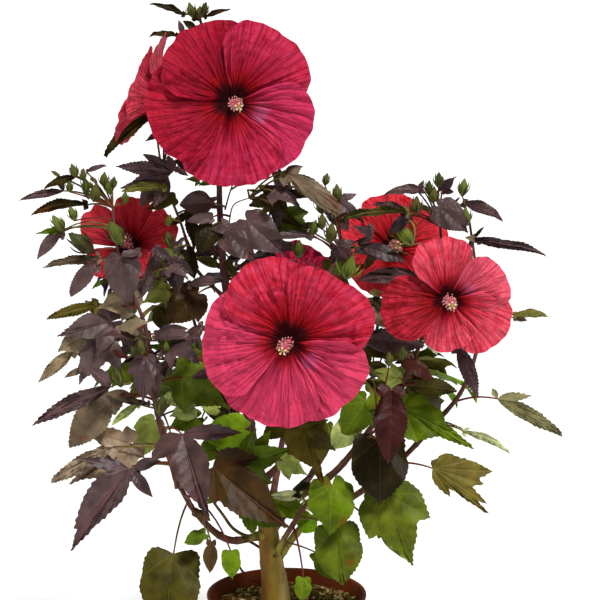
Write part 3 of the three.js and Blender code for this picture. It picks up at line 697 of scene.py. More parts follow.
def crossing(ahead, fixed):
    """Two directions square to ahead and to each other, the first as near fixed as it can be."""
    side = unit(fixed - (fixed @ ahead) * ahead)
    return side, np.cross(ahead, side)


def ribbon(centre, half, beside):
    """A strip three points wide along a line of centres, that reaches half to each side."""
    return centre[:, None, :] + np.array([-1, 0, 1])[None, :, None] * half[:, None, None] * beside


def soft_field(rng, u, v, slowest, fastest, waves=7):
    """An uneven field, mostly between -1 and 1: the sum of waves that run across u and v in
    random directions, over the root of their number."""
    total = 0.0
    for _ in range(waves):
        pitch = rng.uniform(slowest, fastest)
        way = rng.uniform(0, math.tau)
        phase = rng.uniform(0, math.tau)
        total = total + np.sin(pitch * (u * math.cos(way) + v * math.sin(way)) + phase)
    return total / math.sqrt(waves)


def smooth_path(points, values, step):
    """A path through the points at even steps, the values along it and its reach so far. Each
    stretch is a cubic with the slopes of its neighbours at both ends."""
    points = np.asarray(points)
    reach = np.concatenate([[0], np.cumsum(np.linalg.norm(np.diff(points, axis=0), axis=1))])
    slopes = np.gradient(points, reach, axis=0)
    places = np.linspace(0, reach[-1], max(4, int(reach[-1] / step)))
    stretch = np.clip(np.searchsorted(reach, places, side="right") - 1, 0, len(reach) - 2)
    span = (reach[stretch + 1] - reach[stretch])[:, None]
    share = (places - reach[stretch])[:, None] / span
    start, end = points[stretch], points[stretch + 1]
    rise, fall = slopes[stretch] * span, slopes[stretch + 1] * span
    path = (
        (2 * share**3 - 3 * share**2 + 1) * start
        + (share**3 - 2 * share**2 + share) * rise
        + (3 * share**2 - 2 * share**3) * end
        + (share**3 - share**2) * fall
    )
    return path, np.interp(places, reach, values), places


def bowed(start, end, bow, steps):
    """A bent line from start to end: a quadratic curve whose middle is pulled by bow."""
    share = np.linspace(0, 1, steps)[:, None]
    return start * (1 - share) + end * share + bow * 4 * share * (1 - share)


def tube(path, radii, sides, swell=1.0):
    """Rings of points round a path. Ring i holds path[i] + radii[i] * (cos a * side + sin a *
    over), in directions square to the path and kept close to one fixed direction. The ends are
    closed by rings of no width. swell scales the radius by ring and side."""
    ahead = unit(np.gradient(path, axis=0))
    fixed = np.eye(3)[np.argmin(np.abs(path[-1] - path[0]))]
    side = unit(fixed - (ahead @ fixed)[:, None] * ahead)
    over = np.cross(ahead, side)
    around = angles_round(sides)[..., None]
    ring = np.cos(around) * side[:, None, :] + np.sin(around) * over[:, None, :]
    reach = np.broadcast_to(np.asarray(radii)[:, None] * swell, (len(path), sides))
    rings = path[:, None, :] + reach[..., None] * ring
    foot = np.repeat(path[:1, None, :], sides, axis=1)
    tip = np.repeat(path[-1:, None, :], sides, axis=1)
    return np.concatenate([foot, rings, tip])


def turned(profile, sides):
    """A profile of (radius, height) turned about the upright axis."""
    profile = np.asarray(profile)
    around = angles_round(sides)
    radius = profile[:, 0:1]
    height = np.broadcast_to(profile[:, 1:2], (len(profile), sides))
    return np.stack([radius * np.cos(around), radius * np.sin(around), height], axis=-1)


class Bundle:
    """Grids of points gathered into one piece. Each grid has its own places on the growth map,
    across and along, from 0 to 1, and one of the piece's finishes."""

    def __init__(self):
        self.points = []
        self.faces = []
        self.growth = []
        self.finish = []
        self.total = 0

    def grid(self, points, finish=0, closed=False, growth=None):
        """Adds a grid, rows by columns, as quads between neighbouring rows and columns. A closed
        grid also joins its last column to its first. growth gives each point's own place across
        and along, in place of its share of the columns and rows."""
        rows, columns = points.shape[:2]
        spans = columns if closed else columns - 1
        row, column = np.meshgrid(np.arange(rows - 1), np.arange(spans), indexing="ij")
        beside = (column + 1) % columns
        quads = np.stack([
            row * columns + column, row * columns + beside,
            (row + 1) * columns + beside, (row + 1) * columns + column,
        ], axis=-1)
        if growth is None:
            across = np.stack([column, column + 1, column + 1, column], axis=-1) / spans
            along = np.stack([row, row, row + 1, row + 1], axis=-1) / (rows - 1)
            growth = np.stack([across, along], axis=-1).reshape(-1, 4, 2)
        else:
            growth = growth.reshape(-1, 2)[quads.reshape(-1, 4)]
        self.points.append(points.reshape(-1, 3))
        self.faces.append(quads.reshape(-1, 4) + self.total)
        self.growth.append(growth)
        self.finish.append(np.full(rows * columns, finish)[: (rows - 1) * spans])
        self.total += rows * columns

    def build(self, name, finishes, slot):
        """Makes the mesh, with the growth map and a bake map that has a strip for each finish."""
        mesh = bpy.data.meshes.new(name)
        faces, finish = np.concatenate(self.faces), np.concatenate(self.finish)
        mesh.from_pydata(np.concatenate(self.points).tolist(), [], faces.tolist())
        for made in finishes:
            mesh.materials.append(made)
        mesh.polygons.foreach_set("material_index", finish)
        mesh.polygons.foreach_set("use_smooth", np.ones(len(faces), bool))
        growth = np.concatenate(self.growth)
        mesh.uv_layers.new(name="growth").data.foreach_set("uv", growth.ravel())
        strips = growth.copy()
        strips[..., 0] = (growth[..., 0] * 0.96 + 0.02 + finish[:, None]) / len(finishes)
        mesh.uv_layers.new(name="OFBake").data.foreach_set("uv", strips.ravel())
        mesh.update()
        piece = bpy.data.objects.new(name, mesh)
        bpy.context.scene.collection.objects.link(piece)
        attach(piece, "root")
        return piece


# ---------------------------------------------------------------- finishes

def colour(code):
    """A colour code as the linear red, green and blue that the shader takes."""
    parts = np.array([int(code[i:i + 2], 16) for i in (1, 3, 5)]) / 255
    linear = np.where(parts <= 0.04045, parts / 12.92, ((parts + 0.055) / 1.055) ** 2.4)
    return (*linear.tolist(), 1.0)


class Value:
    """A number inside a finish. Sums on it add Math nodes."""

    def __init__(self, finish, socket):
        self.finish = finish
        self.socket = socket

    def math(self, operation, *others):
        node = self.finish.add("Math", {"operation": operation})
        for place, value in enumerate((self, *others)):
            self.finish.feed(node.inputs[place], value)
        return Value(self.finish, node.outputs[0])

    def __add__(self, other):
        return self.math("ADD", other)

    def __sub__(self, other):
        return self.math("SUBTRACT", other)

    def __mul__(self, other):
        return self.math("MULTIPLY", other)

    def __pow__(self, other):
        return self.math("POWER", other)

    def __rsub__(self, other):
        return (self * -1.0) + other

    __radd__ = __add__
    __rmul__ = __mul__

    def fraction(self):
        return self.math("FRACT")

    def size(self):
        return self.math("ABSOLUTE")

    def larger(self, other):
        return self.math("MAXIMUM", other)

    def rise(self, low, high):
        """0 below low and 1 above high, with a smooth rise between them. It falls if low is the
        higher of the two."""
        node = self.finish.add("MapRange", {"interpolation_type": "SMOOTHSTEP"})
        flip = low > high
        ends = (high, low, 1.0, 0.0) if flip else (low, high, 0.0, 1.0)
        for place, value in enumerate((self, *ends)):
            self.finish.feed(node.inputs[place], value)
        return Value(self.finish, node.outputs[0])


class Finish:
    """A material in the making: its node tree, and the one method that adds nodes to it."""

    def __init__(self, name, roughness=0.5, shine=0.3):
        self.material = bpy.data.materials.new(name)
        self.material.use_nodes = True
        self.tree = self.material.node_tree
        self.shader = self.tree.nodes["Principled BSDF"]
        self.shader.inputs["Roughness"].default_value = roughness
        self.shader.inputs["Specular IOR Level"].default_value = shine

    def add(self, kind, settings=(), **sockets):
        """Adds a node: its settings first, then the values or links of its sockets."""
        node = self.tree.nodes.new("ShaderNode" + kind)
        for name, value in dict(settings).items():
            setattr(node, name, value)
        for name, value in sockets.items():
            self.feed(node.inputs[name], value)
        return node

    def feed(self, socket, value):
        if isinstance(value, Value):
            self.tree.links.new(value.socket, socket)
        elif isinstance(value, bpy.types.NodeSocket):
            self.tree.links.new(value, socket)
        else:
            socket.default_value = value

    def growth(self):
        """The places across and along a petal, lobe or limb, from 0 to 1."""
        place = self.add("UVMap", {"uv_map": "growth"}).outputs[0]
        split = self.add("SeparateXYZ", Vector=place).outputs
        return Value(self, split[0]), Value(self, split[1]), place

    def noise(self, scale, detail=3.0, place=None, stretch=None):
        """Uneven numbers about 0.5, by place on the object or on another map."""
        if place is None:
            place = self.add("TexCoord").outputs["Object"]
        if stretch is not None:
            place = self.add("Mapping", Vector=place, Scale=stretch).outputs[0]
        node = self.add("TexNoise", Vector=place, Scale=scale, Detail=detail)
        return Value(self, node.outputs[0])

    def mixed(self, first, second, share):
        """One colour going over into another."""
        node = self.add("Mix", {"data_type": "RGBA"})
        self.feed(node.inputs[0], share)
        self.feed(node.inputs[6], first)
        self.feed(node.inputs[7], second)
        return node.outputs[2]

    def paint(self, base):
        self.feed(self.shader.inputs["Base Color"], base)
        return self

    def relief(self, height, depth, strength=1.0):
        """Bumps of a height from 0 to 1, that many metres deep."""
        bump = self.add("Bump", Height=height, Distance=depth, Strength=strength)
        self.feed(self.shader.inputs["Normal"], bump.outputs[0])
        return self


def leaf_finish(name, blade, rib, roughness, shine):
    """A leathery blade: thin ribs, side veins that leave them slantwise, an uneven tint, a swelling
    between the veins, and a few rusty spots."""
    made = Finish(name, roughness, shine)
    aside, along, _ = made.growth()
    vein = ((along * 9.0 - aside * 1.6).fraction() - 0.5).size() * 2.0
    blade = colour(blade)
    deep_tint_and_shade = tuple(0.6 * part for part in blade[:3]) + (1.0,)
    pale = tuple(1.35 * part for part in blade[:3]) + (1.0,)
    tint = made.mixed(deep_tint_and_shade, pale, made.noise(48.0, 5.0).rise(0.3, 0.7))
    tint = made.mixed(tint, colour(RUST), made.noise(34.0, 3.0).rise(0.66, 0.74) * 0.4)
    lines = (aside.rise(0.045, 0.01) * 0.5).larger((vein ** 20.0) * (1.0 - aside) * 0.2)
    made.paint(made.mixed(tint, colour(rib), lines))
    swelling = (1.0 - vein * vein) * (1.0 - aside * 0.5) * 0.45 + made.noise(240.0, 3.0) * 0.6
    return made.relief(swelling, 1.0 * MM, 0.7).material


def petal_finish(name, body, glow, vein, eye, painted_sheen):
    """A satin petal: a dark eye at its foot that runs out in streaks along the veins, a clear red
    round it, uneven fine veins, a paler bloom towards the edge, and on some a pale patch painted
    as a reflection."""
    made = Finish(name, 0.6, 0.14)
    across, along, place = made.growth()
    waver = made.noise(1.0, 2.0, place, (5.0, 0.6, 1.0)) * 1.6
    first = ((across * PETAL_VEINS + waver).fraction() - 0.5).size() * 2.0
    streaks = made.noise(1.0, 3.0, place, (34.0, 1.7, 1.0))
    fine = made.noise(1.0, 2.0, place, (90.0, 3.2, 1.0))
    second = ((across * PETAL_VEINS + waver + 0.5).fraction() - 0.5).size() * 2.0
    branching = made.noise(1.0, 2.0, place, (22.0, 1.5, 1.0))
    thin = (branching - 0.5).size().rise(0.05, 0.0)
    lines = (first ** 12.0) * along.rise(1.1, 0.5) * 0.5
    lines = lines + (second ** 14.0) * along.rise(0.3, 0.6) * 0.2
    lines = lines + streaks.rise(0.54, 0.7) * along.rise(1.1, 0.2) * 0.28
    lines = lines + thin * along.rise(1.15, 0.4) * 0.36
    cloud = made.noise(6.0, 3.0, place, (1.2, 1.4, 1.0)).rise(0.3, 0.7)
    ridge = (first * 2.0 - 1.0).size().rise(0.8, 0.2) * along.rise(0.25, 0.6)
    paler = cloud * along.rise(0.15, 0.85) * 0.6 + ridge * 0.25
    skin = made.mixed(colour(body), colour(glow), paler)
    # Painted reflection: a pale lilac patch by the eye, streaked along the veins, stands in for light
    # glancing off the satin.
    if painted_sheen:
        patch = along.rise(0.14, 0.22) * along.rise(0.5, 0.28)
        patch = patch * (across - 0.55).size().rise(0.36, 0.02)
        skin = made.mixed(skin, colour(painted_sheen), patch * (0.1 + streaks.rise(0.6, 0.42) * 0.6))
    skin = made.mixed(skin, colour(vein), lines * 0.42)
    ragged = along + (streaks - 0.5) * 0.15 + (fine - 0.5) * 0.07
    skin = made.mixed(skin, colour(EYE_RING), ragged.rise(0.44, 0.2) * 0.9)
    skin = made.mixed(skin, colour(eye), ragged.rise(0.25, 0.12))
    made.paint(skin)
    broad = made.noise(22.0, 2.0, place) * along.rise(0.3, 0.9) * 0.7
    crinkle = streaks * 1.1 + fine * 0.3 + broad
    crinkle = crinkle - (first ** 6.0) * 0.35 - (second ** 8.0) * 0.15 - thin * 0.5
    return made.relief(crinkle, 2.7 * MM, 1.0).material


def bark_finish(name, young, old, streak, scale, sides=None):
    """Smooth bark: one colour low down going over into another, with long streaks and specks.
    sides gives the colours painted on its left and right: painted shade on the left and a painted
    highlight on the right."""
    made = Finish(name, 0.6, 0.1)
    _, along, _ = made.growth()
    grain = made.noise(scale, 5.0, stretch=(1.0, 1.0, 0.3))
    specks = made.noise(scale * 3.2, 3.0).rise(0.6, 0.72)
    skin = made.mixed(colour(young), colour(old), along.rise(0.06, 0.3))
    # Painted light: the left of the trunk is painted darker as shade and the right paler as a
    # highlight, from the key light on the right.
    if sides:
        place = made.add("TexCoord").outputs["Object"]
        to_right = Value(made, made.add("SeparateXYZ", Vector=place).outputs[0])
        to_right = to_right + (grain - 0.5) * (8 * MM)
        skin = made.mixed(skin, colour(sides[0]), to_right.rise(-14 * MM, -24 * MM) * 0.9)
        skin = made.mixed(skin, colour(sides[1]), to_right.rise(-12 * MM, -2 * MM) * 0.9)
    skin = made.mixed(skin, colour(streak), grain.rise(0.46, 0.64) * 0.75)
    skin = made.mixed(skin, colour("#4b3a28"), specks * 0.35)
    made.paint(skin)
    return made.relief(grain + specks * 0.3, 0.7 * MM, 0.8).material


def plain_finish(name, first, second, scale, roughness, depth, detail=4.0):
    """Two colours mixed unevenly, over a fine grain."""
    made = Finish(name, roughness, 0.12)
    cloud = made.noise(scale, detail)
    made.paint(made.mixed(colour(first), colour(second), cloud.rise(0.35, 0.65)))
    return made.relief(cloud, depth, 0.7).material


def bud_finish(name, green, stripe):
    """A bud's sepals: five seams, darker stripes beside them and a dark point."""
    made = Finish(name, 0.45, 0.2)
    across, along, _ = made.growth()
    seam = ((across * 10.0).fraction() - 0.5).size() * 2.0
    skin = made.mixed(colour(green), colour(stripe), (seam ** 4.0).larger(along.rise(0.72, 1.0)))
    made.paint(skin)
    return made.relief(1.0 - seam ** 4.0, 0.6 * MM, 0.6).material


# ---------------------------------------------------------------- camera, light and floor

def set_stage():
    """The camera, a wide pale floor with a glow of its own, a bright world and two soft suns."""
    scene = bpy.context.scene
    camera = bpy.data.objects.new("camera", bpy.data.cameras.new("camera"))
    camera.data.sensor_width = SENSOR
    camera.data.lens = CAMERA_LENS
    camera.location = CAMERA_PLACE
    camera.rotation_euler = (math.radians(90 - CAMERA_PITCH), 0, 0)
    scene.collection.objects.link(camera)
    scene.camera = camera
    scene.view_settings.view_transform = "Standard"

    floor = Bundle()
    floor.grid(turned([(FLOOR_RADIUS, 0), (2.0, 0), (0, 0)], 64), closed=True)
    mesh = bpy.data.meshes.new("floor")
    mesh.from_pydata(np.concatenate(floor.points).tolist(), [], np.concatenate(floor.faces).tolist())
    pale = Finish("floor_pale", 0.9)
    pale.shader.inputs["Base Color"].default_value = (0.5, 0.5, 0.5, 1)
    pale.shader.inputs["Emission Color"].default_value = (1, 1, 1, 1)
    pale.shader.inputs["Emission Strength"].default_value = FLOOR_GLOW
    pale.shader.inputs["Specular IOR Level"].default_value = 0.0
    mesh.materials.append(pale.material)
    ground = bpy.data.objects.new("floor", mesh)
    ground.location = (0, 0, -0.2 * MM)
    scene.collection.objects.link(ground)

    world = bpy.data.worlds.new("studio")
    world.use_nodes = True
    world.node_tree.nodes["Background"].inputs["Color"].default_value = (1, 1, 1, 1)
    world.node_tree.nodes["Background"].inputs["Strength"].default_value = WORLD_LIGHT
    scene.world = world
    for name, strength, tilt, turn, softness in SUNS:
        lamp = bpy.data.lights.new(name, "SUN")
        lamp.energy = strength
        lamp.angle = math.radians(softness)
        sun = bpy.data.objects.new(name, lamp)
        sun.rotation_euler = (math.radians(tilt), 0, math.radians(turn))
        scene.collection.objects.link(sun)


# ---------------------------------------------------------------- pot and compost

def rounded(profile, corner):
    """The profile with each inner corner cut back by corner and rounded through three points."""
    points = [np.array(point, float) for point in profile]
    made = [points[0]]
    for before, here, after in zip(points, points[1:], points[2:]):
        back = min(corner, np.linalg.norm(before - here) * 0.4)
        on = min(corner, np.linalg.norm(after - here) * 0.4)
        first = here + unit(before - here) * back
        last = here + unit(after - here) * on
        made += [first, (first + last + 2 * here) / 4, last]
    made.append(points[-1])
    return np.array(made)


def make_pot():
    """The pot: the profile of its solid with rounded corners and a hollow under it, turned.
    Returns the wall's inner radius and height at the collar and at the top."""
    points = corners_of("pot")
    radius, height = np.hypot(points[:, 0], points[:, 1]), points[:, 2]

    def end_at(level, end):
        """The least or the greatest radius of the solid at a height."""
        return end(radius[np.isclose(height, level, atol=1e-4)])

    levels = np.unique(np.round(height, 4))
    outer = [(end_at(level, max), level) for level in levels]
    base, floor, collar, step, under_rim, rim, top = outer
    wall_top, wall_collar = end_at(top[1], min), end_at(collar[1], min)
    foot = base[0] - POT_FOOT
    profile = [
        (0, POT_HOLLOW), (foot - 1 * MM, POT_HOLLOW), (foot, 0), base,
        collar, step, under_rim, rim, top, (wall_top, top[1]),
        (wall_collar, collar[1]), floor, (0, floor[1]),
    ]
    shell = Bundle()
    shell.grid(turned(rounded(profile, POT_CORNER), POT_SIDES), closed=True)
    made = Finish("pot_brown", 0.45, 0.12)
    scuffs = made.noise(38.0, 5.0).rise(0.52, 0.74)
    shade = made.mixed(colour("#662a08"), colour("#76340e"), made.noise(9.0, 2.0))
    made.paint(made.mixed(shade, colour("#8c5030"), scuffs * 0.3))
    made.relief(made.noise(900.0, 2.0), 0.15 * MM, 0.6)
    pot = shell.build("pot_shell", [made.material], "pot_plastic")
    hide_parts("pot")
    return wall_collar, wall_top, collar[1], top[1]


def scattered(rng, count, reach, level, sizes, flatness):
    """Small crumbs: balls of 5 by 6 points, each squashed, turned and dented by itself, strewn
    evenly over a disc, half sunk in the surface."""
    rows, columns = 5, 6
    lat = np.linspace(0, math.pi, rows)[:, None]
    lon = angles_round(columns)
    ball = np.stack(
        [np.sin(lat) * np.cos(lon), np.sin(lat) * np.sin(lon), np.cos(lat) + 0 * lon], -1
    )
    size = rng.uniform(*sizes, (count, 3)) * [1, 1, flatness]
    turn, tip = rng.uniform(0, math.tau, count), rng.normal(0, 0.35, count)
    balls = ball[None] * size[:, None, None, :] * rng.uniform(0.7, 1.25, (count, rows, columns, 1))
    balls[:, 0] = balls[:, 0].mean(axis=1, keepdims=True)
    balls[:, -1] = balls[:, -1].mean(axis=1, keepdims=True)
    x, y, z = np.moveaxis(balls, -1, 0)
    tip, turn = tip[:, None, None], turn[:, None, None]
    x, z = x * np.cos(tip) - z * np.sin(tip), x * np.sin(tip) + z * np.cos(tip)
    x, y = x * np.cos(turn) - y * np.sin(turn), x * np.sin(turn) + y * np.cos(turn)
    radius, angle = reach * np.sqrt(rng.uniform(0, 1, count)), rng.uniform(0, math.tau, count)
    spots = np.stack([radius * np.cos(angle), radius * np.sin(angle)], -1)
    x, y = x + spots[:, 0, None, None], y + spots[:, 1, None, None]
    z = z + level(spots[:, 0], spots[:, 1])[:, None, None] + size[:, 2, None, None] * 0.4
    return np.stack([x, y, z], -1)


def make_compost(wall_collar, wall_top, collar_height, top_height):
    """Compost: an uneven round sheet over the solid, strewn with crumbs and wood chips."""
    rng = np.random.default_rng(COMPOST_SEED)
    _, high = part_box("soil")
    level = high.z
    climb = (level - collar_height) / (top_height - collar_height)
    reach = wall_collar + (wall_top - wall_collar) * climb - 0.6 * MM

    def surface(x, y):
        """The level, raised a little, uneven and sunk towards the wall."""
        bumps = soft_field(np.random.default_rng(BUMP_SEED), x, y, 60, 420, 16)
        sag = COMPOST_SAG * (np.hypot(x, y) / reach) ** 4
        return level + COMPOST_RISE + bumps * COMPOST_BUMPS - sag

    ring = np.linspace(0.004, 1, COMPOST_RINGS)[::-1, None] * reach
    around = angles_round(COMPOST_SIDES)
    x, y = ring * np.cos(around), ring * np.sin(around)
    sheet = np.stack([x, y, surface(x, y)], -1)
    skirt = sheet[:1] - [0, 0, COMPOST_SKIRT]
    top = Bundle()
    top.grid(np.concatenate([skirt, sheet]), closed=True)
    for crumb in scattered(rng, CRUMBS, reach * 0.985, surface, (0.7 * MM, 2.3 * MM), 0.7):
        top.grid(crumb[::-1], finish=rng.integers(*CRUMB_FINISHES), closed=True)
    for chip in scattered(rng, CHIPS, reach * 0.97, surface, (1.2 * MM, 5.0 * MM), 0.36):
        top.grid(chip[::-1], finish=rng.integers(*CHIP_FINISHES), closed=True)
    dark = plain_finish("compost_dark", "#3a2608", "#5c4216", 220.0, 0.95, 1.2 * MM, 6.0)
    finishes = [dark, plain_finish("compost_brown", "#4e3410", "#6a4c22", 300.0, 0.95, 0.6 * MM)]
    for name, first, second in (
        ("chip_tan", "#b09864", "#cfb98a"), ("chip_brown", "#7c5c30", "#9a7a4a"),
        ("chip_moss", "#565c1c", "#767a2c"),
    ):
        finishes.append(plain_finish(name, first, second, 260.0, 0.9, 0.4 * MM))
    top.build("compost_top", finishes, "compost")
    for holder in frame["nodes"]["soil"].material_slots:
        holder.material = dark


# ---------------------------------------------------------------- limbs

class Stems:
    """Every stretch of wood that leaves and buds can grow from."""

    def __init__(self):
        self.points = []

    def add(self, path):
        self.points.append(path)

    def nearest(self, place):
        """The spot on the wood that a stalk to this place starts from: the nearest, where a spot
        above the place counts as further away."""
        wood = np.concatenate(self.points)
        cost = np.linalg.norm(wood - place, axis=1) + 0.6 * np.maximum(0, wood[:, 2] - place[2])
        return wood[np.argmin(cost)]


def ring_line(node):
    """The centres and radii of a limb's rings, from its lower end: its corners in order along
    its long axis, parted where they are far from the next. The radius is a straight taper
    fitted to the whole rings, except on the trunk."""
    points = corners_of(node)
    middle = points.mean(axis=0)
    axis = np.linalg.svd(points - middle)[2][0]
    axis = axis if axis[2] > 0 else -axis
    along = (points - middle) @ axis
    order = np.argsort(along)
    parts = np.split(order, np.where(np.diff(along[order]) > RING_GAP)[0] + 1)
    centres = np.array([points[part].mean(axis=0) for part in parts])
    widths = np.array([
        np.linalg.norm(points[part] - points[part].mean(axis=0), axis=1).mean() for part in parts
    ])
    whole = np.array([len(part) == LIMB_SIDES for part in parts])
    places = np.concatenate([[0], np.cumsum(np.linalg.norm(np.diff(centres, axis=0), axis=1))])
    if node != "trunk":
        widths = np.polyval(np.polyfit(places[whole], widths[whole], 1), places)
    return centres, widths


def limb_path(node):
    """A limb's smooth path and radius, begun a little inside the wood that it grows from."""
    centres, widths = ring_line(node)
    if node != "trunk":
        start = centres[0] - unit(centres[1] - centres[0]) * JOINT_DEPTH
        centres, widths = np.vstack([start, centres]), np.concatenate([widths[:1], widths])
    return smooth_path(centres, widths, PATH_STEP)


def make_trunk(stems):
    """The trunk runs on into the foot of the leader, with long ridges, lumps, and leaf scars
    that swell round a thin groove."""
    rng = np.random.default_rng(TRUNK_SEED)
    centres, widths = ring_line("trunk")
    path, radius, _ = limb_path("leader")
    above = path[:, 2] - centres[-1][2]
    onward = path[(above > 6 * MM) & (above < 60 * MM)][::4]
    taper = np.linspace(1.12, 0.98, len(onward)) * radius[0]
    spine, width, places = smooth_path(
        np.vstack([centres, onward]), np.concatenate([widths, taper]), TRUNK_STEP
    )
    around = angles_round(TRUNK_SIDES)
    run = places[:, None]
    ridges = soft_field(rng, np.cos(around) * 3.2, np.sin(around) * 3.2 + run * 9, 1, 4)
    lumps = soft_field(rng, np.cos(around) * 1.2, np.sin(around) * 1.2 + run * 34, 1, 3)
    swell = 1 + 0.022 * ridges + 0.03 * lumps
    for height, angle, size in TRUNK_SCARS:
        apart = (around - angle + math.pi) % math.tau - math.pi
        swell = swell + size * np.exp(-((run - height) / (4 * MM)) ** 2 - (apart / 0.5) ** 2)
        swell = swell - 0.05 * np.exp(-((run - height) / (0.9 * MM)) ** 2 - (apart / 0.7) ** 2)
    bark = Bundle()
    bark.grid(tube(spine, width, TRUNK_SIDES, swell), closed=True)
    # Painted shade for the trunk's left and a painted highlight for its right.
    painted_shade_and_highlight = ("#96702e", "#d8c27a")
    skin = bark_finish("bark_green_tan", "#a88636", "#98863a", "#7a5626", 60.0, painted_shade_and_highlight)
    piece = bark.build("trunk_bark", [skin], "bark")
    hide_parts("trunk")
    stems.add(spine)


def make_boughs(stems):
    """Boughs and leader: tubes with a collar at the foot, a swelling at every leaf scar, and a
    slight waver. Four are green at the foot, the rest purple-brown."""
    rng = np.random.default_rng(BOUGH_SEED)
    bark = Bundle()
    names = [name for name in frame["nodes"] if name.startswith("bough")] + ["leader"]
    around = angles_round(BOUGH_SIDES)
    for name in sorted(names):
        path, radius, places = limb_path(name)
        knots = 0.16 * np.exp(-((places % LEAF_SCAR_SPACING - 13 * MM) / (2.2 * MM)) ** 2)
        collar = 0.5 * np.exp(-places / (7 * MM)) if name != "leader" else 0
        waver = soft_field(rng, np.cos(around) + places[:, None] * 40, np.sin(around), 1, 4)
        swell = (1 + knots + collar)[:, None] + 0.035 * waver
        slim = radius * np.linspace(*BOUGH_SLIMNESS, len(radius))
        finish = GREEN_FOOT if name in GREEN_FOOTED else PURPLE_BROWN
        bark.grid(tube(path, slim, BOUGH_SIDES, swell), finish=finish, closed=True)
        stems.add(path)
    finishes = [
        bark_finish("stem_green_footed", "#a89c4c", "#5e3c2e", "#4e3224", 150.0),
        bark_finish("stem_purple_brown", "#6a4438", "#5c3a38", "#422828", 150.0),
    ]
    piece = bark.build("boughs_bark", finishes, "stem")
    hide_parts(*names)


def make_side_shoots(spray):
    """The thin shoots between the boughs and by the trunk's foot: plain tapering tubes."""
    for points, foot, tip in SIDE_SHOOTS:
        points = np.array(points) * MM
        path, radius, _ = smooth_path(points, np.linspace(foot, tip, len(points)) * MM, PATH_STEP)
        finish = STALK_OLIVE if foot > THICK_SHOOT else STALK_RED
        spray.twigs.grid(tube(path, radius, SIDE_SHOOT_SIDES), finish=finish, closed=True)
        spray.stems.add(path)


# ---------------------------------------------------------------- leaves

class Spray:
    """What grows on the wood, gathered into pieces: twigs and stalks, leaves by tone, buds."""

    def __init__(self, stems):
        self.stems = stems
        self.twigs = Bundle()
        self.buds = Bundle()
        self.blades = {tone: Bundle() for tone in TONES}
        self.blooms = []

    def stalk(self, rng, end, thickness=STALK_THICKNESS, start=None):
        """A thin stalk to a place from start or the nearest wood, bowed upwards."""
        start = self.stems.nearest(end) if start is None else start
        span = np.linalg.norm(end - start)
        bow = UP * span * rng.uniform(0.03, 0.12) + rng.normal(0, 0.02, 3) * span
        path = bowed(start, end, bow, STALK_STEPS)
        radii = thickness * np.linspace(*STALK_TAPER, STALK_STEPS)
        finish = rng.integers(STALK_RED, STALK_OLIVE + 1)
        self.twigs.grid(tube(path, radii, STALK_SIDES), finish=finish, closed=True)

    def before_a_bloom(self, points):
        """Whether any of the points lies within a bloom's rim and before its petals."""
        behind, before = CLEAR_DEPTHS
        for bloom in self.blooms:
            away = points - bloom["centre"]
            depth = away @ bloom["facing"]
            aside = np.linalg.norm(away - depth[:, None] * bloom["facing"], axis=1)
            inside = aside < bloom["radius"] * CLEAR_RADIUS
            if np.any(inside & (depth > behind) & (depth < before)):
                return True
        return False


def lobe_reach(angle, length, half, toward):
    """How far a lobe reaches from the leaf's junction in each direction. Its half width at a
    share s of its length is half s^0.9 (1 - s)^1.3, scaled to 1 at its widest."""
    s = np.linspace(0.01, 1, 80)
    widest = 0.9 / 2.2
    bulge = s**0.9 * (1 - s) ** 1.3 / (widest**0.9 * (1 - widest) ** 1.3)
    aside, along = half * bulge, s * length
    offset, reach = np.arctan2(aside, along), np.hypot(aside, along)
    return np.interp(np.abs(toward - angle), offset[::-1], reach[::-1], right=0.0)


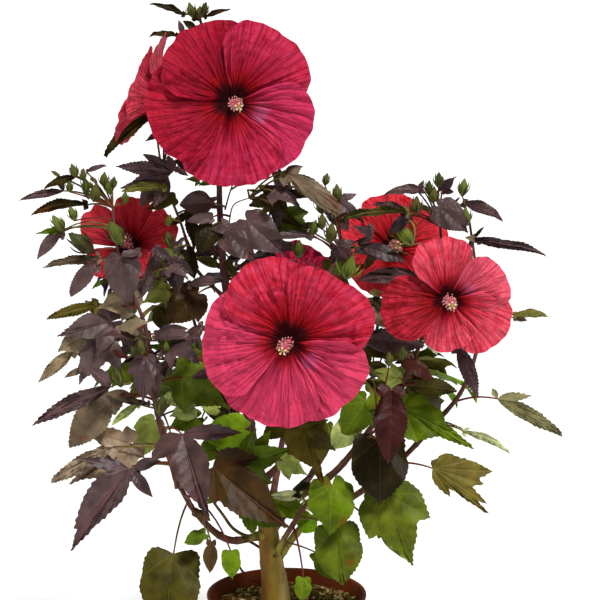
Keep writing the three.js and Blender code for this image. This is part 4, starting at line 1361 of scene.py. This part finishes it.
def flat_blade(shape, width, flip, columns, rows, tooth, rng):
    """A flat leaf of length 1 as a fan of rows round its junction. Its edge is the furthest
    reach of its lobes in each direction, stepped evenly along the edge and nicked by teeth that
    lean towards the tips. Returns x along the middle rib, y to its left, how far each point is
    from the nearest rib, and the share of the way to the edge."""
    side = -1 if flip else 1
    lobes = [
        (
            side * math.radians(angle) * rng.uniform(0.93, 1.07),
            length * (rng.uniform(0.9, 1.08) if angle else 1), half * width,
        )
        for angle, length, half in SHAPES[shape]
    ]
    last = min(math.radians(LAST_DIRECTION), max(abs(lobe[0]) for lobe in lobes) + 1.25)
    toward = np.linspace(-last, last, EDGE_DIRECTIONS)
    reach = np.max([lobe_reach(*lobe, toward) for lobe in lobes], axis=0)
    edge = reach[:, None] * np.stack([np.cos(toward), np.sin(toward)], -1)
    run = np.concatenate([[0], np.cumsum(np.linalg.norm(np.diff(edge, axis=0), axis=1))])
    stops = np.linspace(0, run[-1], columns)
    tips = np.interp([lobe[0] for lobe in lobes], toward, run)
    for tip in tips:
        stops[np.argmin(np.abs(stops - tip))] = tip
    edge = np.stack([np.interp(stops, run, edge[:, 0]), np.interp(stops, run, edge[:, 1])], -1)
    along = unit(np.gradient(edge, axis=0) + 1e-9)
    outward = np.stack([along[:, 1], -along[:, 0]], -1)
    outward = outward * np.sign(np.sum(outward * edge, axis=1, keepdims=True) + 1e-9)
    to_tip = np.sign(np.sum(along * edge, axis=1, keepdims=True))
    near_tip = np.min(np.abs(stops[:, None] - tips[None, :]), axis=1)
    bite = tooth * rng.uniform(0.3, 1.5, columns) * np.where(np.arange(columns) % 2, 1.0, -0.7)
    from_foot = np.clip(np.linalg.norm(edge, axis=1) / 0.2 - 0.3, 0, 1)
    bite = bite * np.clip(near_tip / 0.08, 0, 1) * from_foot
    lean = np.maximum(bite, 0)[:, None] * to_tip * along * 0.9
    edge = edge + bite[:, None] * outward + lean
    share = (np.linspace(0, 1, rows) ** 0.85)[:, None]
    x, y = share * edge[:, 0], share * edge[:, 1]
    ribs = []
    for angle, _, _ in lobes:
        ahead = x * math.cos(angle) + y * math.sin(angle)
        off = np.abs(y * math.cos(angle) - x * math.sin(angle))
        ribs.append(np.where(ahead > 0, off, np.hypot(x, y)))
    return x, y, np.min(ribs, axis=0), share + 0 * x


def summed(slope, run):
    """The running sum of a slope along run, which is 0 where run is 0."""
    total = np.concatenate([[0], np.cumsum((slope[1:] + slope[:-1]) / 2 * np.diff(run))])
    return total - np.interp(0, run, total)


def grow_leaf(
    bundle, junction, tip, facing, shape, finish, rng, width=1.0, blade=LISTED_BLADE, curl=30,
    flip=False,
):
    """A leaf from its junction to the tip of its middle lobe. The flat blade is folded up from
    its ribs, rippled at the edge, drooped sideways and bent down along the leaf by an angle that
    grows with the distance, then turned so that the tip lands on its place."""
    curl = math.radians(curl) * rng.uniform(0.7, 1.3)
    hook = math.radians(rng.uniform(10, 60))
    fold, ripple = rng.uniform(0.12, 0.42), rng.uniform(0.012, 0.03)
    droop, twist = rng.uniform(0.1, 0.7), rng.normal(0, 0.25)
    x, y, aside, share = flat_blade(shape, width, flip, *blade, rng)
    run = np.linspace(*BEND_SPAN, BEND_STEPS)
    bend = curl * run + hook * np.maximum(run, 0) ** 4
    level, sunk = summed(np.cos(bend), run), summed(np.sin(bend), run)
    end_x, end_z = np.interp(1, run, level), -np.interp(1, run, sunk)
    tilt = math.atan2(end_z, end_x)
    scale = np.linalg.norm(tip - junction) / math.hypot(end_x, end_z)
    waves = soft_field(rng, x * 11, y * 11, 0.6, 1.6, 5)
    lift = fold * aside - droop * y * y + twist * x * y + 0.012 * waves
    lift = lift + ripple * soft_field(rng, x * 18, y * 18, 0.7, 1.4, 4) * share**3
    angle = np.interp(x, run, bend)
    flat_x = np.interp(x, run, level) + lift * np.sin(angle)
    flat_z = -np.interp(x, run, sunk) + lift * np.cos(angle)
    turned_x = flat_x * math.cos(tilt) + flat_z * math.sin(tilt)
    turned_z = flat_z * math.cos(tilt) - flat_x * math.sin(tilt)
    ahead = unit(tip - junction)
    over = unit(facing - (facing @ ahead) * ahead + 1e-6)
    left = np.cross(over, ahead)
    local = turned_x[..., None] * ahead + y[..., None] * left + turned_z[..., None] * over
    place = np.stack([np.minimum(1, aside / 0.24), np.hypot(x, y)], -1)
    bundle.grid(junction + local * scale, finish=finish, growth=place)


def grow_bud(spray, base, direction, length, rng, is_open=False, young=False):
    """A bud: a turned body with five soft ridges and a point, in a cup of narrow bracts that
    bow out from its foot and close round it. A young or an open bud is paler, and an open one's
    bracts spread wider."""
    h = np.linspace(0, 1, BUD_ROWS)
    radius = 0.27 * length * np.sin(math.pi * h**0.78) ** 0.8 * (1 - 0.25 * h) + 0.0002
    ridges = np.cos(BUD_RIDGES * angles_round(BUD_COLUMNS))
    swell = 1 + 0.05 * ridges * np.sin(math.pi * h)[:, None]
    direction = unit(direction)
    path = base + h[:, None] * length * direction
    body = BUD_YOUNG if young or is_open else rng.integers(BUD_GREEN, BUD_DARK + 1)
    spray.buds.grid(tube(path, radius, BUD_COLUMNS, swell), finish=body, closed=True)
    side, over = crossing(direction, np.eye(3)[np.argmin(np.abs(direction))])
    spread = 1.7 if is_open else 1.0
    for k in range(BUD_BRACTS):
        out = spoke(math.tau * k / BUD_BRACTS + rng.normal(0, 0.08), side, over)
        run = np.linspace(0, 1, 7)
        reach = 0.31 * length * (np.sin(math.pi * run * 0.62) * 1.05 * spread + 0.12)
        rise = length * run * rng.uniform(0.66, 0.92)
        centre = base + reach[:, None] * out + (rise - 0.03 * length)[:, None] * direction
        half = 0.055 * length * np.sin(math.pi * (0.12 + 0.86 * run)) ** 0.7
        strip = ribbon(centre, half, np.cross(direction, out))
        strip[:, 1] += out * 0.012 * length
        bract = BRACT_LIME if is_open else rng.integers(BRACT_GREEN, BRACT_DARK + 1)
        spray.buds.grid(strip, finish=bract)


def way_of(clock, lean):
    """The direction of an hour on a clock seen from the front, leant forwards by some degrees."""
    angle, lean = math.tau * clock / 12, math.radians(lean)
    upright = math.sin(angle) * RIGHT + math.cos(angle) * UP
    return math.cos(lean) * upright + math.sin(lean) * FRONT


def spot_in(low, high, across, height, depth):
    """A place by its shares of a box: from the left, from the foot and from the front."""
    return low + np.array([across, depth, height]) * (high - low)


def slot_of(node):
    """The colour slot of a solid of the frame."""
    rows = frame["record"]["subparts"]
    return next(row["material_slot"] for row in rows if row["node"] == node)


def grow_more_leaves(spray, node, shoot, count, rng):
    """Up to count leaves set round a mass's shoot by the golden turn. They stay inside the
    mass's box and clear of the blooms' faces."""
    points = corners_of(node)
    low, high, middle = points.min(axis=0), points.max(axis=0), points.mean(axis=0)
    tones = MIXTURES[slot_of(node)]
    grown = 0
    for attempt in range(count * LEAF_WAIT):
        if grown == count:
            break
        share = (attempt % count + rng.uniform(0.2, 1.0)) / count
        root = shoot[int(share * (SHOOT_STEPS - 1))]
        ahead = unit(shoot[-1] - shoot[0])
        side = unit(np.cross(ahead, UP))
        over = np.cross(side, ahead)
        turn = GOLDEN_TURN * attempt + rng.uniform(-0.4, 0.4)
        out = unit(0.45 * ahead + math.cos(turn) * side + math.sin(turn) * over + 0.15 * UP)
        junction = root + out * rng.uniform(*OTHER_STALKS) * MM
        margin = BOX_EDGE * (high - low)
        junction = np.clip(junction, low + margin, high - margin)
        away = unit(np.array([junction[0] - middle[0], junction[1] - middle[1], 0]) + out * 0.03)
        away = unit(away * 0.9 + out * 0.5 - UP * rng.uniform(0.15, 1.1))
        size = rng.uniform(*OTHER_LENGTHS) * MM
        tip = np.clip(junction + away * size, low - 3 * MM, high + 3 * MM)
        if np.linalg.norm(tip - junction) < LEAST_LENGTH * size:
            continue
        if spray.before_a_bloom(np.array([junction, (junction + tip) / 2, tip])):
            continue
        outward = unit(np.array([junction[0] + 0.02, junction[1], 0]))
        facing = UP * 0.75 + outward * rng.uniform(0.3, 1.0) + rng.normal(0, 0.15, 3)
        tone = tones[rng.integers(0, len(tones))]
        kind = ("palm", "trident", "broad", "maple")[rng.integers(0, 4)]
        if tone in ("green", "bright", "green_bronze"):
            kind = ("maple", "heart", "maple")[rng.integers(0, 3)]
        shade = rng.integers(0, len(TONES[tone][0]))
        grow_leaf(
            spray.blades[tone], junction, tip, facing, kind, shade, rng, blade=OTHER_BLADE,
            curl=OTHER_CURL,
        )
        spray.stalk(rng, junction, start=root)
        grown += 1


def grow_listed_leaf(spray, leaf, low, high, own, rng):
    """A leaf of a mass's list, in its box from low to high, and its stalk."""
    tone = leaf.tone or own.removeprefix("leaf_")
    spot = spot_in(low, high, leaf.across, leaf.height, leaf.depth)
    face = math.radians(leaf.face)
    facing = math.cos(face) * UP + math.sin(face) * FRONT
    tip = spot + way_of(leaf.clock, leaf.lean) * leaf.length * MM
    shade = rng.integers(0, len(TONES[tone][0]))
    grow_leaf(
        spray.blades[tone], spot, tip, facing, leaf.shape, shade, rng, width=leaf.width,
        curl=leaf.curl, flip=leaf.flip,
    )
    root = leaf.stem and spray.stems.nearest(spot_in(low, high, *leaf.stem, leaf.depth))
    spray.stalk(rng, spot, start=root)


def grow_listed_bud(spray, bud, low, high, rng):
    """A bud of a mass's list, in its box from low to high, and its stalk."""
    spot = spot_in(low, high, bud.across, bud.height, bud.depth)
    length = bud.length * MM
    way = unit(way_of(bud.clock, BUD_LEAN) + rng.normal(0, 0.1, 3))
    base = spot - way * length * 0.5
    grow_bud(spray, base, way, length, rng, bud.is_open, bud.young)
    spray.stalk(rng, base, thickness=BUD_STALK_THICKNESS)


def grow_mass(spray, node, rng):
    """All that grows in one mass: the shoot, the leaves and buds that it is known by, and more
    leaves round the shoot. Returns the shoot."""
    mass = MASSES[node]
    points = corners_of(node)
    low, high = points.min(axis=0), points.max(axis=0)
    start = spray.stems.nearest(points.mean(axis=0))
    far = points[np.argmax(np.linalg.norm(points - start, axis=1))]
    shoot = None
    if mass.more:
        end = start + (far - start) * SHOOT_REACH
        bow = UP * np.linalg.norm(far - start) * 0.06
        shoot = bowed(start, end, bow, SHOOT_STEPS)
        radii = np.linspace(*SHOOT_RADII, SHOOT_STEPS) * MM
        spray.twigs.grid(tube(shoot, radii, SHOOT_SIDES), finish=TWIG_BROWN, closed=True)
        spray.stems.add(shoot[4:])
    for leaf in mass.leaves:
        grow_listed_leaf(spray, leaf, low, high, slot_of(node), rng)
    for bud in mass.buds:
        grow_listed_bud(spray, bud, low, high, rng)
    if mass.more:
        grow_more_leaves(spray, node, shoot, mass.more, rng)
    return shoot


def make_foliage(spray):
    """Grows every mass, and the later leaves of those at the back, then joins the twigs, the
    leaves of each tone and the buds."""
    rng = np.random.default_rng(LEAF_SEED)
    rows = frame["record"]["subparts"]
    masses = [row["node"] for row in rows if row["node"].startswith("leaves_")]
    shoots = {node: grow_mass(spray, node, rng) for node in masses}
    for node, shoot in shoots.items():
        if node.startswith("leaves_back"):
            grow_more_leaves(spray, node, shoot, LATER_LEAVES, rng)
    finishes = [
        bark_finish("twig_brown", "#442c26", "#3c2624", "#2c1c1c", 200.0),
        plain_finish("stalk_red", "#5c1c14", "#6c2c20", 90.0, 0.5, 0.2 * MM),
        plain_finish("stalk_olive", "#7a6a30", "#5c4a28", 90.0, 0.5, 0.2 * MM),
    ]
    spray.twigs.build("twigs_and_stalks", finishes, "stem")
    for tone, bundle in spray.blades.items():
        shades, rib, roughness, shine = TONES[tone]
        made = [
            leaf_finish(f"{tone}_{k}", shade, rib, roughness, shine)
            for k, shade in enumerate(shades)
        ]
        slot = TONE_HOMES.get(tone, f"leaf_{tone}")
        piece = bundle.build(f"blades_{tone}", made, slot)
        if tone not in TONE_HOMES:
            same = [row["node"] for row in rows if row["material_slot"] == slot]
            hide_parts(*same)
    buds = [
        bud_finish("bud_green", "#56621c", "#363414"),
        bud_finish("bud_striped", "#5c5a26", "#402c20"),
        bud_finish("bud_dark", "#3e4614", "#2e201c"),
        plain_finish("bract_green", "#5c6020", "#484c16", 120.0, 0.5, 0.2 * MM),
        plain_finish("bract_dark", "#423418", "#382420", 120.0, 0.5, 0.2 * MM),
        bud_finish("bud_young", "#687628", "#4a5618"),
        plain_finish("bract_lime", "#7e8a36", "#687424", 120.0, 0.5, 0.2 * MM),
    ]
    spray.buds.build("buds", buds, "leaf_green")


# ---------------------------------------------------------------- blooms

def bloom_frame(node, plan):
    """Where a bloom's solid is: the centre of its rim, its radius, the way it faces, its right
    and its top, and the end of its stalk."""
    turn, lift = math.radians(plan.turn), math.radians(plan.lift)
    level = math.cos(lift)
    facing = np.array([math.sin(turn) * level, -math.cos(turn) * level, math.sin(lift)])
    right = unit(np.cross(-facing, UP))
    top = np.cross(right, -facing)
    points = corners_of(node)
    depth = points @ facing
    rim = points[depth > depth.max() - 9 * MM]
    moved = np.array(plan.shift) * MM
    centre = rim.mean(axis=0) + moved @ np.array([right, top, facing])
    aside = rim - rim.mean(axis=0)
    radius = np.linalg.norm(aside - (aside @ facing)[:, None] * facing, axis=1).max()
    foot = points[np.argsort(depth)[:5]].mean(axis=0)
    return dict(centre=centre, radius=radius, facing=facing, right=right, top=top, foot=foot)


def bubbles(rng, x, y):
    """Rounded blisters, one about each whole place across and along: (1 - d squared) squared
    inside the reach of its uneven centre, and the highest where several meet."""
    count = 24
    spots = rng.uniform(-0.28, 0.28, (2, count, count))
    sizes = rng.uniform(0.3, 0.72, (count, count))
    column, row = np.floor(x).astype(int), np.floor(y).astype(int)
    height = np.zeros(x.shape)
    for across in (-1, 0, 1):
        for along in (-1, 0, 1):
            i, j = (column + across) % count, (row + along) % count
            aside = x - (column + across + 0.5 + spots[0, i, j])
            beyond = y - (row + along + 0.5 + spots[1, i, j])
            far = (aside**2 + beyond**2) / sizes[i, j] ** 2
            height = np.maximum(height, np.maximum(0, 1 - far) ** 2 * sizes[i, j])
    return height


def petal_relief(s, t, radius, plan, patch, rng):
    """How far each point of a petal stands out or in: long pleats, crinkles that run with the
    veins, grooves along the veins and finer ones between them, and blisters in the outer half,
    which stand high where an uneven field is high and in the patch."""
    x_run = s * radius * math.radians(plan.spread) * 0.7 / MM
    y_run = t * radius / MM
    pleats = soft_field(rng, x_run / 2.2, y_run / 14, 0.8, 1.2, 3)
    crinkles = soft_field(rng, x_run / 1.15, y_run / 6, 0.7, 1.3, 6)
    domes = bubbles(rng, x_run / BLISTER_RUNS[0] + 0 * t, y_run / BLISTER_RUNS[1] + 0 * s)
    bulging = np.clip(soft_field(rng, s * 1.6, t * 1.6, 1, 2.4, 4) * 1.4 + 0.2, 0, 1)
    bulging = bulging * plan.blisters
    if patch:
        aside, up = patch
        near = np.exp(-(((s - aside) / 0.42) ** 2) - ((t - up) / 0.17) ** 2)
        bulging = np.maximum(bulging, near)
    vein = np.abs((s + 1) / 2 * PETAL_VEINS % 1 - 0.5) * 2
    grooves = VEIN_GROOVES * vein**5 + FINE_GROOVES * (1 - vein) ** 5
    relief = PLEATS * pleats * np.clip(t / 0.2, 0, 1) + CRINKLES * crinkles * np.clip(t / 0.3, 0, 1)
    relief = relief - grooves * np.clip(t / 0.15, 0, 1) * np.clip((1.05 - t) / 0.3, 0, 1)
    relief = relief + BLISTERS * domes * bulging * np.clip((t - 0.35) / 0.2, 0, 1)
    return radius * plan.relief * relief


def grow_petal(bundle, bloom, plan, petal, finish, rng, cup, patch):
    """One petal on a grid: s runs across it from -1 to 1 and t from its foot to its edge. Its
    angle is the petal's own plus s times the spread, which narrows towards the foot; its radius
    runs from the throat to the edge, which falls away towards the corners; and its height is
    the funnel's, plus a lift to the side that overlaps the next petal, the relief and a ruffle
    at the edge. On the growth map t is raised to a power that lets the eye reach further on the
    upper petals."""
    angle, reach = petal
    t = np.linspace(0, 1, PETAL_ROWS)[:, None]
    s = np.linspace(-1, 1, PETAL_COLUMNS)[None, :]
    radius = bloom["radius"]
    widening = np.sin(math.pi / 2 * np.minimum(1, t / 0.55))
    spread = math.radians(plan.spread) * (plan.foot + (1 - plan.foot) * widening)
    lobes = soft_field(rng, s * 2.6, 0 * s, 1, 3, 4)
    nicks = soft_field(rng, s * 9, 0 * s, 1, 4, 6)
    edge = 0.985 - plan.corner * s**2 - 0.14 * s**8 - 0.06 * np.abs(s) ** 3
    edge = edge + 0.028 * lobes + 0.01 * nicks
    edge = radius * np.minimum(edge * reach, FURTHEST_EDGE)
    out = THROAT + (edge - THROAT) * t
    theta = math.radians(angle) + s * spread + 0.05 * soft_field(rng, t * 2, 0 * t, 1, 3, 3) * t
    share = out / radius
    funnel = -cup * (1 - np.minimum(1, share)) ** 1.7
    reflex = -plan.reflex * radius * np.clip((share - 0.6) / 0.4, 0, 1) ** 2
    overlap = s * OVERLAP * radius * np.sin(math.pi / 2 * t)
    relief = petal_relief(s, t, radius, plan, patch, rng)
    waves = soft_field(rng, theta * 5 + 0 * t, 0 * s, 1, 3, 5)
    waves = waves + 0.6 * soft_field(rng, theta * 16 + 0 * t, 0 * s, 1, 2, 4)
    ruffle = plan.ruffle * RUFFLE * radius * waves * t**3
    height = funnel + reflex + overlap + relief + ruffle
    x, y = out * np.cos(theta), out * np.sin(theta)
    points = (
        bloom["centre"] + x[..., None] * bloom["right"] + y[..., None] * bloom["top"]
        + height[..., None] * bloom["facing"]
    )
    across = np.linspace(0, 1, PETAL_COLUMNS)[None, :] + 0 * t
    # Painted shade: the dark eye reaches further on the upper petals, where the deep throat lies in
    # shade.
    along = t ** (1 + plan.eye_shade_rise * math.sin(math.radians(angle))) + 0 * s
    bundle.grid(points, finish=finish, growth=np.stack([across, along], axis=-1))


def grow_column(bundle, bloom, cup, rng):
    """The column in the middle of a bloom: a tapering tube, threads round its outer two thirds
    that each end in a grain of pollen sacs, and five short arms with round pads at its tip."""
    length = 0.3 * bloom["radius"] + cup * 0.5
    facing, right, top = bloom["facing"], bloom["right"], bloom["top"]
    foot = bloom["centre"] - facing * cup
    tip = foot + facing * length - top * 0.1 * length + right * rng.normal(0, 0.05) * length
    path = bowed(foot, tip, top * 0.04 * length, COLUMN_STEPS)
    radii = np.linspace(2.7, 1.3, COLUMN_STEPS) * MM
    bundle.grid(tube(path, radii, COLUMN_SIDES), finish=COLUMN, closed=True)
    ahead = unit(tip - foot)
    side, over = crossing(ahead, right)
    for k in range(THREADS):
        share = 0.34 + 0.62 * (k + 0.5) / THREADS
        out = spoke(GOLDEN_TURN * k, side, over)
        root = path[int(share * (COLUMN_STEPS - 1))]
        end = root + out * rng.uniform(4.5, 8.5) * MM + ahead * rng.uniform(0.5, 4) * MM
        thread = bowed(root, end, ahead * 0.4 * MM, 4)
        bundle.grid(tube(thread, np.full(4, 0.24 * MM), 4), finish=THREAD, closed=True)
        grain = bowed(end - ahead * 0.8 * MM, end + ahead * 0.8 * MM, out * 0.2 * MM, 5)
        girth = np.array([0.45, 0.9, 1.0, 0.9, 0.45]) * MM
        bundle.grid(tube(grain, girth, 6), finish=POLLEN, closed=True)
    for k in range(ARMS):
        out = spoke(math.tau * k / ARMS + 0.3, side, over)
        end = tip + ahead * 4 * MM + out * 3.6 * MM
        arm = bowed(tip, end, ahead * 0.8 * MM, 6)
        bundle.grid(tube(arm, np.full(6, 0.4 * MM), 6), finish=ARM, closed=True)
        pad = bowed(end - out * 0.8 * MM, end + out * 1.0 * MM, ahead * 0.4 * MM, 6)
        girth = np.array([0.4, 0.9, 1.2, 1.2, 0.9, 0.4]) * MM
        bundle.grid(tube(pad, girth, 8), finish=PAD, closed=True)


def grow_calyx(bundle, bloom, cup, rng):
    """Behind a bloom: a cup of five pointed sepals, whose radius grows from its foot and whose
    half spread closes to a point, and ten narrow bracts. Returns the cup's foot."""
    facing, right, top = bloom["facing"], bloom["right"], bloom["top"]
    seat = bloom["centre"] - facing * (cup + CALYX_DEPTH)
    run = np.linspace(0, 1, 12)[:, None]
    spread = np.linspace(-1, 1, 9)[None, :]
    half = 0.66 * np.sqrt(np.maximum(0, 1 - run**2.2)) + 0.02
    widening = (9 * np.sin(math.pi / 2 * np.minimum(1, run * 1.6)) + 6 * run**2) * MM
    away = 3 * MM + widening + 0 * spread
    rise = 21 * MM * run + 0 * spread
    for k in range(SEPALS):
        theta = math.tau * (k + 0.5) / SEPALS + spread * half
        x, y = away * np.cos(theta), away * np.sin(theta)
        sepal = seat + x[..., None] * right + y[..., None] * top + rise[..., None] * facing
        bundle.grid(sepal, finish=SEPAL)
    run = np.linspace(0, 1, 8)
    half = 1.1 * MM * np.sin(math.pi * (0.15 + 0.83 * run))
    for k in range(BLOOM_BRACTS):
        out = spoke(math.tau * k / BLOOM_BRACTS + rng.normal(0, 0.06), right, top)
        centre = seat + (3 + 12 * np.sin(math.pi * run * 0.6))[:, None] * MM * out
        centre = centre + (22 * run - 1.5)[:, None] * MM * facing
        bundle.grid(ribbon(centre, half, -np.cross(facing, out)), finish=BLOOM_BRACT)
    return seat


def finish_of(plan, k):
    """Which of its dye's finishes petal k of a bloom has."""
    for finish, petals in ((PAINTED_SHEEN, plan.painted_sheen), (LIT_ROSY, plan.lit_rosy), (SHADED_DEEP, plan.deep_tint_and_shade)):
        if k in petals:
            return finish
    return PLAIN


def make_blooms(spray):
    """Every bloom: petals by dye, columns, and the calyxes with their stalks."""
    petals = {name: Bundle() for name in DYES}
    columns, calyxes = Bundle(), Bundle()
    for place, plan in enumerate(BLOOMS.values()):
        rng = np.random.default_rng(BLOOM_SEED + place)
        bloom = spray.blooms[place]
        cup = plan.cup * bloom["radius"]
        for k, petal in enumerate(plan.petals):
            patch = plan.blister_patches.get(k)
            grow_petal(petals[plan.dye], bloom, plan, petal, finish_of(plan, k), rng, cup, patch)
        grow_column(columns, bloom, cup, rng)
        seat = grow_calyx(calyxes, bloom, cup, rng)
        middle = bloom["foot"]
        wood = spray.stems.nearest(middle)
        line = np.vstack([wood, (wood + middle) / 2, middle, seat + bloom["facing"] * 2 * MM])
        path, radius, _ = smooth_path(line, np.array([2.2, 2.1, 2.2, 3.2]) * MM, PATH_STEP)
        calyxes.grid(tube(path, radius, BLOOM_STALK_SIDES), finish=BLOOM_STALK, closed=True)
    for name, bundle in petals.items():
        body, glow, vein, eye, painted_sheen, lit_rosy, deep_tint_and_shade = DYES[name]
        # Besides the plain one: a petal with a painted reflection on the lit rosy body, a rosy copy
        # painted lighter as if lit, and a deep copy painted darker as shade.
        finishes = [
            petal_finish(f"petal_{name}", body, glow, vein, eye, None),
            petal_finish(f"petal_{name}_sheen", lit_rosy, glow, vein, eye, painted_sheen),
            petal_finish(f"petal_{name}_rosy", lit_rosy, glow, vein, eye, None),
            petal_finish(f"petal_{name}_deep", deep_tint_and_shade, body, vein, eye, None),
        ]
        slot = "petal_coral" if name in ("coral", "lit_coral") else "petal_crimson"
        piece = bundle.build(f"petals_{name}", finishes, slot)
        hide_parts(*(node for node, plan in BLOOMS.items() if plan.dye == name))
    columns.build("columns_and_stamens", [
        plain_finish("column_red", "#c2163a", "#d8486a", 80.0, 0.45, 0.1 * MM),
        plain_finish("thread_pink", "#d9788c", "#e7a0ac", 80.0, 0.5, 0.1 * MM),
        plain_finish("pollen_pink", "#d08c88", "#c0706c", 400.0, 0.7, 0.2 * MM),
        plain_finish("arm_green", "#a9ac52", "#c2c070", 80.0, 0.5, 0.1 * MM),
        plain_finish("pad_cream", "#e6dfa0", "#d9cf83", 300.0, 0.7, 0.2 * MM),
    ], "petal_crimson")
    calyxes.build("calyxes_and_stalks", [
        bud_finish("sepal", "#5c6a34", "#4a2c38"),
        plain_finish("bloom_bract", "#4c4a2c", "#3c2c2c", 120.0, 0.5, 0.2 * MM),
        plain_finish("bloom_stalk", "#5a3c3e", "#6b4a40", 90.0, 0.5, 0.2 * MM),
    ], "leaf_dark")


# ---------------------------------------------------------------- all of it

set_stage()
wall = make_pot()
make_compost(*wall)
wood = Stems()
make_trunk(wood)
make_boughs(wood)
growth = Spray(wood)
growth.blooms = [bloom_frame(node, plan) for node, plan in BLOOMS.items()]
make_side_shoots(growth)
make_foliage(growth)
make_blooms(growth)
